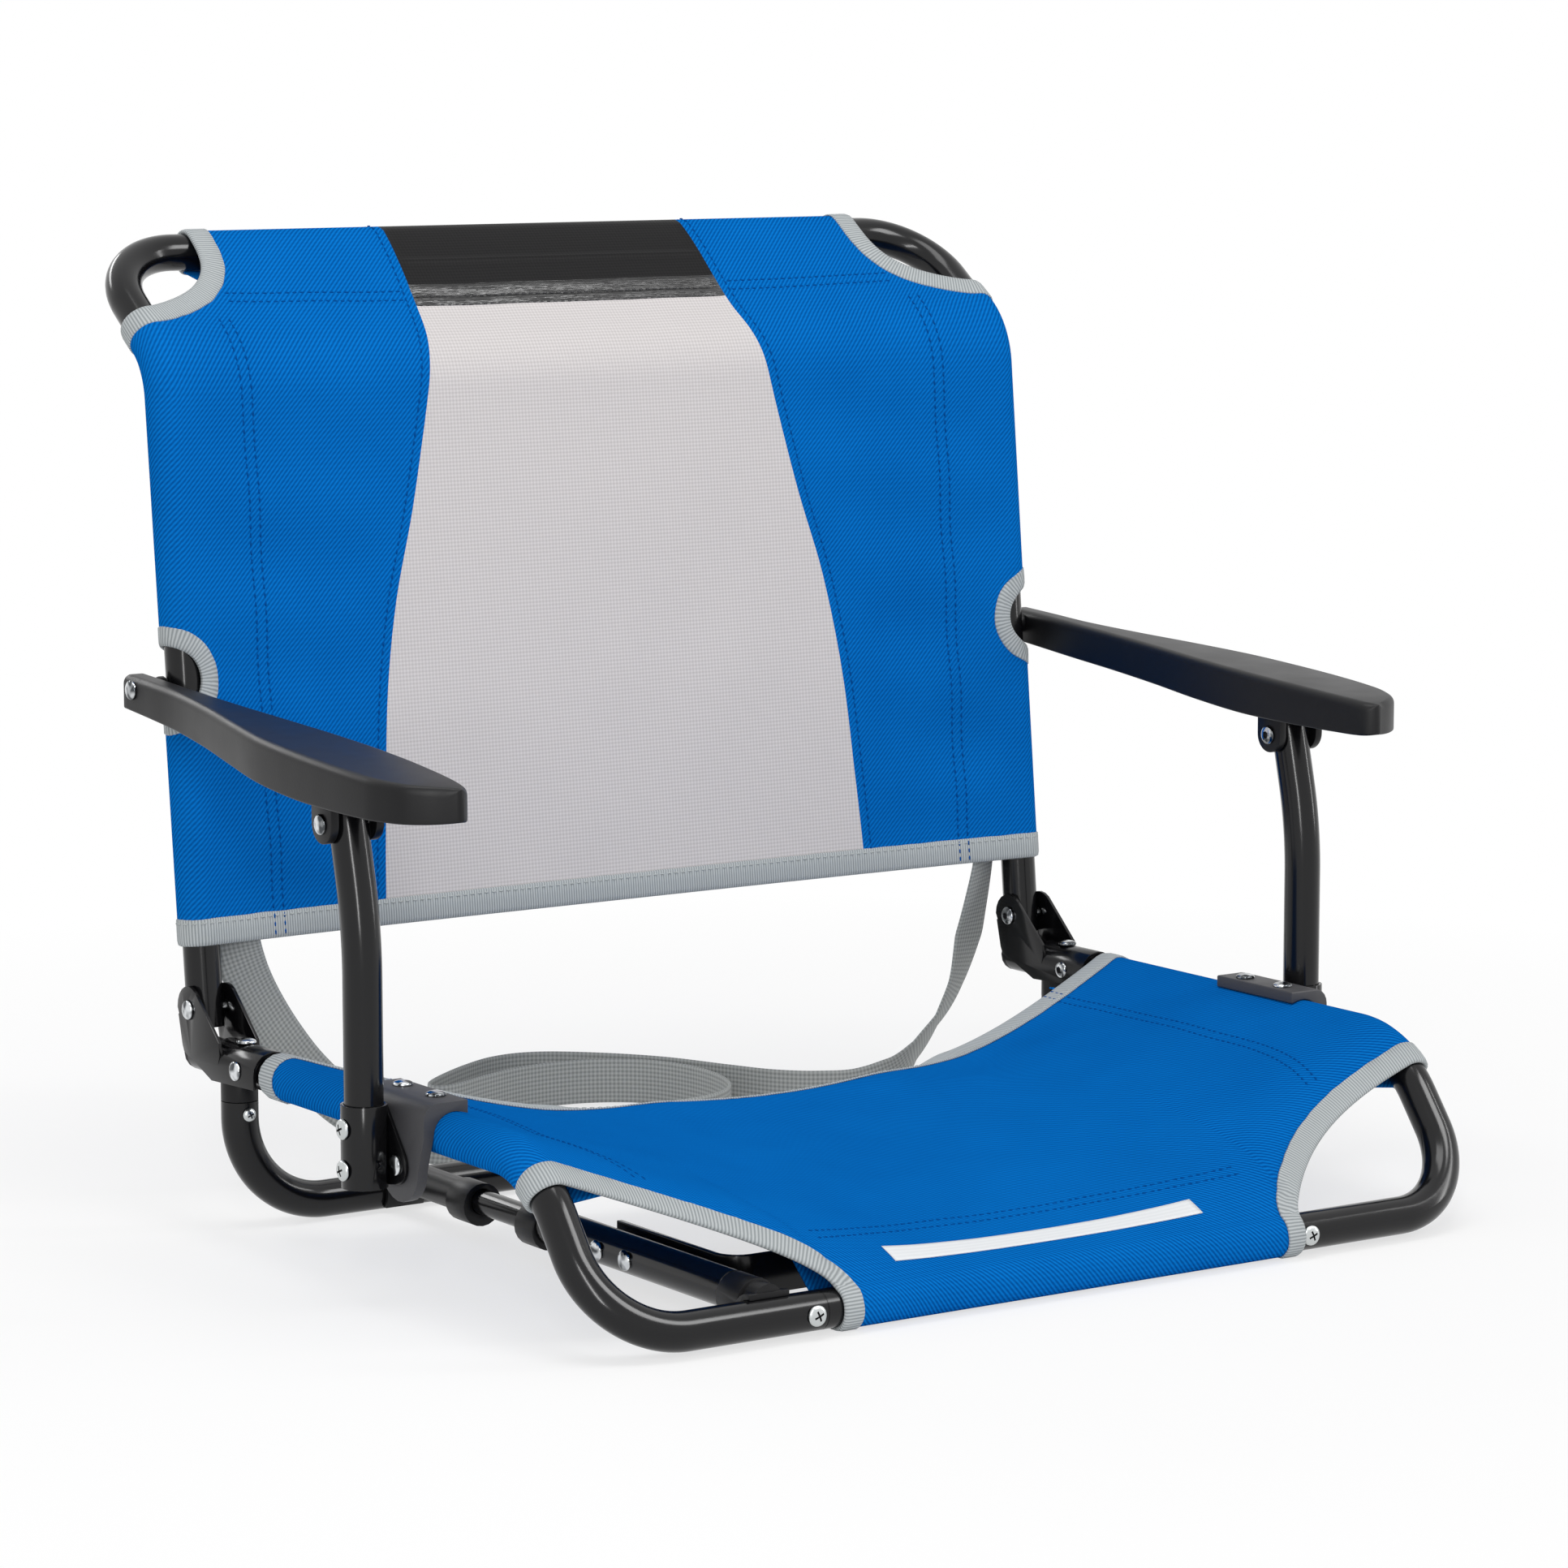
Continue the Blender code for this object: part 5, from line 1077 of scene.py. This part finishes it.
# place ahead of the rear pivot, then inner x, outer x, bottom and top there
ARM_STATIONS = ((-9, 0, 14.5, -10.2, 7), (18, 0, 14.5, -12.8, 5.5), (48, -0.5, 15.5, -15.6, 3.5),
                (88, -2, 21, -18.8, 1), (128, -4.5, 28.5, -22.2, -1.5), (168, -7.5, 35, -26, -4.2),
                (208, -9, 37, -29.2, -6.9), (243, -8.5, 36.6, -30.6, -9.3), (272, -6.8, 34.3, -31.4, -11.5),
                (284, -5.8, 31, -31.6, -12.5), (293, -4.8, 26.5, -31.8, -13.3),
                (298.5, -4, 20.5, -31.8, -13.9), (302, -3.2, 15.5, -31.7, -14.3),
                (304.5, -2, 11, -31.5, -14.7), (306.5, 0, 7, -31.2, -15.1), (307.8, 2, 4.5, -30.8, -15.6))
ARM_ALONG = 220.5 / 222.0
ARM_TOP_R = 4.4
ARM_LOW_R = 1.2
ARM_WALL = 3.2
LUG_R = 9.5
LUG_THICK = 4.4
LUG_GAP = 0.6
LUG_TOP = 10.0


def arm_ring(at, sign, inset=0.0, drop=0.0):
    """Return one rounded section of an armrest, drawn in by an inset and down by a drop."""
    inner, outer, low, high = [follow([(one[0], one[part]) for one in ARM_STATIONS], at)
                               for part in (1, 2, 3, 4)]
    x0, x1 = ARM_BASE + inner + inset, ARM_BASE + outer - inset
    z0, z1 = ARM_REAR[1] + low - drop, ARM_REAR[1] + high - inset
    ring = []
    for corner_x, corner_z, size, start in ((x1, z1, ARM_TOP_R, 0.0), (x0, z1, ARM_TOP_R, 0.5),
                                            (x0, z0, ARM_LOW_R, 1.0), (x1, z0, ARM_LOW_R, 1.5)):
        size = min(size, (x1 - x0) * 0.42)
        mid_x = corner_x - size if corner_x == x1 else corner_x + size
        mid_z = corner_z - size if corner_z == z1 else corner_z + size
        for step in range(8):
            angle = math.pi * (start + step / 14)
            ring.append(spot(sign * (mid_x + size * math.cos(angle)), ARM_REAR[0] + at * ARM_ALONG,
                             mid_z + size * math.sin(angle)))
    return ring


def loft(rings):
    """Return a closed bmesh through a row of rings of points."""
    count = len(rings[0])
    build, home = grid_cloth(count, len(rings) - 1,
                             lambda column, row: (rings[row][column % count], (0.0, 0.0)))
    bmesh.ops.remove_doubles(build, verts=build.verts, dist=0.003 * MM)
    ends = [edge for edge in build.edges if len(edge.link_faces) == 1]
    bmesh.ops.holes_fill(build, edges=ends, sides=count)
    bmesh.ops.recalc_face_normals(build, faces=build.faces)
    return build


for word, sign in SIDES:
    places = [-9.0 + 4.0 * k for k in range(70)] + [271.0 + 2.0 * k for k in range(14)]
    places += [299.5, 301.0, 302.5, 304.0, 305.0, 306.0, 306.8, 307.4, 307.8]
    build = loft([arm_ring(at, sign) for at in places])
    round_edges(build, 60.0, 1.6, 3)
    pocket = loft([arm_ring(at, sign, ARM_WALL, 20.0) for at in range(88, 274, 5)])
    build = carve(build, "DIFFERENCE", pocket)
    for side in (-1, 1):
        near = SUPPORT_X + side * (TUBE_R + LUG_GAP)
        ear = [(ARM_FRONT[0] + LUG_R * math.cos(angle), ARM_FRONT[1] - LUG_R * math.sin(angle))
               for angle in [k * math.pi / 20 for k in range(21)]]
        ear += [(ARM_FRONT[0] - LUG_R, ARM_REAR[1] - LUG_TOP), (ARM_FRONT[0] + LUG_R, ARM_REAR[1] - LUG_TOP)]
        reach = Vector((sign * side * LUG_THICK * MM, 0, 0))
        lug = plate([spot(sign * near, ahead, z) for ahead, z in ear], reach)
        round_edges(lug, 60.0, 0.5, 2)
        build = carve(build, "UNION", lug)
    show(word + "_armrest_moulding", build, moulded_black, word + "_arm", "moulded_black", word + "_armrest",
         angle=40.0)
    soften(word + "_arm_spacer_ring", word + "_arm_spacer", moulded_black, "back", "moulded_black", 0.4, 2)

# Rivets, pins and screws. Plated steel: nickel on the domed rivets of the brackets, clamps and hook and
# on the pivots' headed pins, zinc on the cross-head screws of the front bar, legs and support brackets.
HEAD_H = 2.2
HEAD_RIM = 0.45
SHANK_R = 2.5
KEY_R = 2.1
BOLT_END_R = 4.6
BOLT_AHEAD = 54.0
# Zinc plate on the screws: pale metal with soft cloudy reflections
zinc, tree, shader = start_material("zinc_plated_steel", "#C4C8C8", 0.3, 1.0)
hard_finish(tree, shader, 0.22, 0.38, cloud=2.5)
# Nickel plate on the rivets and pins: a polished dome whose colour is painted with dark and bright clouds of
# 5 mm, a painted reflection of a dark room and bright lamps in its shine
nickel, tree, shader = start_material("nickel_plated_steel_painted_reflection", "#9A9DA0", 0.14, 1.0)
place = add_node(tree, "ShaderNodeTexCoord")
drift = add_node(tree, "ShaderNodeTexNoise", {"Vector": place.outputs["Object"], "Scale": 1 / (5.0 * MM),
                                              "Detail": 1.0})
cloud = add_node(tree, "ShaderNodeMapRange", {"Value": drift.outputs["Fac"], "From Min": 0.38,
                                              "From Max": 0.6})
# painted reflection: the base colour swings from dark to bright grey over the clouds
add_node(tree, "ShaderNodeMix", {0: cloud.outputs[0], 6: linear("#4C4F52"), 7: linear("#D8DBDD")},
         {2: shader.inputs["Base Color"]}, data_type="RGBA")
add_node(tree, "ShaderNodeMapRange", {"Value": cloud.outputs[0], "To Min": 0.1, "To Max": 0.2},
         {0: shader.inputs["Roughness"]})
# Punched recess: bare steel painted dark, a painted shade for the shadow deep in the recess
recess_painted_shade, tree, shader = start_material("steel_recess_painted_shade", "#1E1E20", 0.5)
hard_finish(tree, shader, 0.4, 0.6, cloud=1.0)


def turned(profile, base, way, steps=36):
    """Return a bmesh of a profile of (radius, height) turned about a line from base along way."""
    build = bmesh.new()
    line = [build.verts.new((radius * MM, 0.0, height * MM)) for radius, height in profile]
    edges = [build.edges.new(pair) for pair in zip(line, line[1:])]
    bmesh.ops.spin(build, geom=line + edges, cent=(0, 0, 0), axis=(0, 0, 1), angle=2 * math.pi, steps=steps,
                   use_merge=True)
    bmesh.ops.remove_doubles(build, verts=build.verts, dist=0.004 * MM)
    bmesh.ops.recalc_face_normals(build, faces=build.faces)
    turn = Vector((0, 0, 1)).rotation_difference(way).to_matrix().to_4x4()
    bmesh.ops.transform(build, matrix=Matrix.Translation(base) @ turn, verts=build.verts)
    return build


def dome(radius, base, up=1):
    """Return a head's profile from its rim to its top, with a short straight rim."""
    line = [(radius, base), (radius, base + up * HEAD_RIM)]
    for step in range(1, 9):
        angle = step * math.pi / 16
        height = HEAD_RIM + (HEAD_H - HEAD_RIM) * math.sin(angle)
        line.append((radius * math.cos(angle), base + up * height))
    return line[:-1] + [(0.0, base + up * HEAD_H)]


def hexed(build, top, way):
    """Return a bmesh with a six-sided key hole sunk into its top."""
    key = turned([(0.0, -1.6), (KEY_R, -1.6), (KEY_R, 1.0), (0.0, 1.0)], top, way, 6)
    # the key hole's faces take the second material, painted dark as the shade inside the hole
    for face in key.faces:
        face.material_index = 1
    return carve(build, "DIFFERENCE", key)


def head(node, body, way, cross=False):
    """Put a domed head in a CAD head's place; a cross recess makes it a screw."""
    low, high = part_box(node)
    low, high, way = Vector(low), Vector(high), Vector(way)
    middle = (low + high) / 2
    reach = abs((high - low).dot(way))
    radius = max((high - low)[k] for k in range(3) if abs(way[k]) < 0.5) / 2 / MM
    base = middle - way * reach / 2
    build = turned([(0.0, 0.0)] + dome(radius, 0.0), base, way)
    if cross:
        for turn in (0.4, 0.4 + math.pi / 2):
            slot = bmesh.new()
            bmesh.ops.create_cube(slot, size=1.0)
            place = Matrix.Translation((0, 0, HEAD_H * MM)) @ Matrix.Rotation(turn, 4, "Z")
            cut = Matrix.Diagonal((radius * 1.05 * MM, radius * 0.2 * MM, HEAD_H * 1.3 * MM, 1.0))
            bmesh.ops.transform(slot, verts=slot.verts, matrix=place @ cut)
            face = Vector((0, 0, 1)).rotation_difference(way).to_matrix().to_4x4()
            bmesh.ops.transform(slot, verts=slot.verts, matrix=Matrix.Translation(base) @ face)
            # the slot's faces take the second material, painted dark as the shade inside the cross recess
            for side in slot.faces:
                side.material_index = 1
            build = carve(build, "DIFFERENCE", slot)
    show(node + "_head", build, [zinc if cross else nickel, recess_painted_shade], body, "zinc", node, angle=40.0)


def pin(node, body, sign, blind=False):
    """Put a headed pin in a CAD pin's place; a blind pin has its only head outside."""
    low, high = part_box(node)
    low, high = Vector(low), Vector(high)
    length = (high - low).x / MM
    radius = (high - low).z / 2 / MM
    middle = (low + high) / 2
    start = dome(radius, HEAD_H, -1)[::-1] + [(SHANK_R, HEAD_H)]
    if blind:
        start = [(0.0, 0.0), (SHANK_R, 0.0)]
    profile = start + [(SHANK_R, length - HEAD_H)] + dome(radius, length - HEAD_H)
    way = Vector((sign, 0, 0))
    base = middle - way * length / 2 * MM
    build = turned(profile, base, way)
    if not blind:
        build = hexed(build, base, -way)
    show(node + "_shank", build, [nickel, recess_painted_shade], body, "zinc", node, angle=40.0)


for word, sign in SIDES:
    pin(word + "_hinge_pin", "seat", sign)
    pin(word + "_support_pin", "seat", sign)
    pin(word + "_arm_rear_pin", "back", sign, blind=True)
    pin(word + "_arm_front_pin", word + "_arm", sign)
    head(word + "_bracket_side_rivet", "seat", (sign, 0, 0))
    inward = Vector((-sign, 0, 0))
    base = spot(sign * (RAIL_X - EAR_FACES[1]), BOLT_AHEAD, RAIL_Z)
    bolt_end = turned([(0.0, 0.0)] + dome(BOLT_END_R, 0.0), base, inward)
    tail = hexed(bolt_end, base + inward * HEAD_H * MM, inward)
    show(word + "_bracket_bolt_end", tail, [nickel, recess_painted_shade], "seat", "zinc", angle=40.0)
    head(word + "_bracket_top_rivet", "seat", (0, 0, 1))
    head(word + "_clamp_front_rivet", "seat", (0, 0, 1))
    head(word + "_clamp_rear_rivet", "seat", (0, 0, 1))
    head(word + "_leg_screw", "seat", (0, -1, 0), cross=True)
    head(word + "_front_screw", "seat", (0, -1, 0), cross=True)
    head(word + "_bracket_lower_screw", word + "_support", (sign, 0, 0), cross=True)
    head(word + "_bracket_upper_screw", word + "_support", (sign, 0, 0), cross=True)

# Bench hook. A fixed steel rod in two moulded sockets under the left side; a sleeve slides and turns on
# it and carries the L-shaped flat bar that grips the bench, held by two rivets.
HOOK_X = -169.0
HOOK_Z = 18.5
ROD_REAR = 46.1
SLEEVE_REAR = 190.0
rod = [(0.0, 0.0), (5.6, 0.0), (6.35, 0.75), (6.35, 323.05), (5.6, 323.8), (0.0, 323.8)]
show("hook_round_rod", turned(rod, spot(HOOK_X, ROD_REAR, HOOK_Z), Vector((0, -1, 0)), 32), powder_coat,
     "seat", "black_coat", "hook_rod")
collar = [(6.65, 0.4), (7.0, 0.0), (9.1, 0.0), (9.5, 0.4), (9.5, 161.6), (9.1, 162.0), (7.0, 162.0),
          (6.65, 161.6), (6.65, 0.4)]
show("hook_turning_sleeve", turned(collar, spot(HOOK_X, SLEEVE_REAR, HOOK_Z), Vector((0, -1, 0)), 32),
     powder_coat, "hook", "black_coat", "hook_sleeve")
soften("hook_flat_bar", "hook_plate", powder_coat, "hook", "black_coat", 0.5, 3)
soften("hook_slide_bush", "hook_bush", moulded_black, "hook_slider", "moulded_black", 0.6)
soften("hook_front_cradle", "hook_front_socket", moulded_black, "seat", "moulded_black", 0.5, 2)
soften("hook_rear_clip", "hook_rear_socket", moulded_black, "seat", "moulded_black", 0.5, 2)
head("hook_front_rivet", "hook", (-1, 0, 0))
head("hook_rear_rivet", "hook", (-1, 0, 0))

# Carry strap. One length of 25 mm webbing, sewn inside the back's hem at both ends. It hangs down
# behind the seat and lies on the bench in a loose S.
STRAP_W = 25.0
STRAP_T = 1.6
# x, distance ahead of the hinge line, height, heading of the strap's face in degrees
STRAP_ROUTE = ((-236.5, -6.6, 152, -29), (-236.5, -6.2, 138, -29), (-229, -10.5, 121, -12),
               (-217.5, -16, 103, -3), (-203, -20.5, 83, 0), (-185, -24.5, 62, 0), (-162, -27, 41.5, 0),
               (-135, -27.5, 25.5, -2), (-106, -24.5, 16, -7), (-66, -17, 13.5, -10), (-20, -10, 13.5, -7),
               (24, -5.5, 13.5, 0), (57, -9, 13.5, 20), (80, -27, 13.5, 56), (90.5, -55, 13.5, 80),
               (90, -86, 13.5, 104), (77, -114, 13.5, 134), (50, -131, 13.5, 163), (15, -134, 13.5, 184),
               (-17, -124.5, 13.5, 198), (-42, -113, 13.5, 200), (-55, -112, 13.5, 150),
               (-56.5, -121, 13.5, 90), (-44, -134, 13.5, 48), (-14, -155, 13.5, 34), (14, -168, 13.5, 12),
               (40, -166, 13.5, -20), (67, -145, 13.5, -44), (92, -113, 13.5, -56), (110, -73, 13.5, -66),
               (123, -47, 13.5, -53), (141, -30, 13.5, -32), (163, -22, 14, -10), (184, -19.5, 20, 26),
               (200, -19.5, 33, 52), (215, -20, 48.5, 55), (228, -19.5, 69, 38), (234, -15.5, 97, 18),
               (236.5, -6.2, 138, 29), (236.5, -6.6, 152, 29))

# Polypropylene webbing: grey with a raised basket of ribs, drawn at 2.4 mm, and dull edges
webbing, tree, shader = start_material("polypropylene_webbing_grey", "#8E9494", 0.65)
woven_finish(tree, shader, weave(tree, 2.4, 2.4), "#7F8382", "#B6B9B8", 0.25, 0.9)


def strap_point(share):
    """Return the strap's middle and its face's heading at a share of its route."""
    at = min(share * (len(STRAP_ROUTE) - 1), len(STRAP_ROUTE) - 1.001)
    index = int(at)
    t = at - index
    picked = [STRAP_ROUTE[min(len(STRAP_ROUTE) - 1, max(0, index + k))] for k in (-1, 0, 1, 2)]
    p0, p1, p2, p3 = [spot(*one[:3]) for one in picked]
    middle = (p1 * 2 + (p2 - p0) * t + (p0 * 2 - p1 * 5 + p2 * 4 - p3) * t * t
              + (p1 * 3 - p0 - p2 * 3 + p3) * t ** 3) * 0.5
    heading = picked[1][3] + (picked[2][3] - picked[1][3]) * t
    return middle, math.radians(heading)


STRAP_STEPS = 420
strap_line = [strap_point(k / STRAP_STEPS) for k in range(STRAP_STEPS + 1)]
strap_path = [middle for middle, heading in strap_line]
strap_run = [0.0]
for before, after in zip(strap_path, strap_path[1:]):
    strap_run.append(strap_run[-1] + (after - before).length)
# the ribbon's section: share of the half width, share of the half thickness
STRAP_SECTION = ((-1, -0.3), (-0.97, -0.85), (-0.9, -1), (-0.3, -1), (0.3, -1), (0.9, -1), (0.97, -0.85),
                 (1, -0.3), (1, 0.3), (0.97, 0.85), (0.9, 1), (0.3, 1), (-0.3, 1), (-0.9, 1), (-0.97, 0.85),
                 (-1, 0.3), (-1, -0.3))


def strap_place(column, row):
    """Return the strap's point and flat position for a place in its grid."""
    middle, heading = strap_line[column]
    way = (strap_path[min(STRAP_STEPS, column + 1)] - strap_path[max(0, column - 1)]).normalized()
    face = Vector((-math.sin(heading), math.cos(heading), 0.0))
    face = (face - way * face.dot(way)).normalized()
    wide = face.cross(way)
    across, deep = STRAP_SECTION[row]
    point = middle + wide * across * STRAP_W / 2 * MM + face * deep * STRAP_T / 2 * MM
    return point, (across * STRAP_W / 2, strap_run[column] / MM)


build, home = grid_cloth(STRAP_STEPS, len(STRAP_SECTION) - 1, strap_place)
bmesh.ops.remove_doubles(build, verts=build.verts, dist=0.01 * MM)
bmesh.ops.holes_fill(build, edges=[edge for edge in build.edges if len(edge.link_faces) == 1], sides=40)
bmesh.ops.recalc_face_normals(build, faces=build.faces)
strap = show("strap_webbing", build, webbing, None, "grey_web", "carry_strap", angle=60.0)
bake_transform(strap)
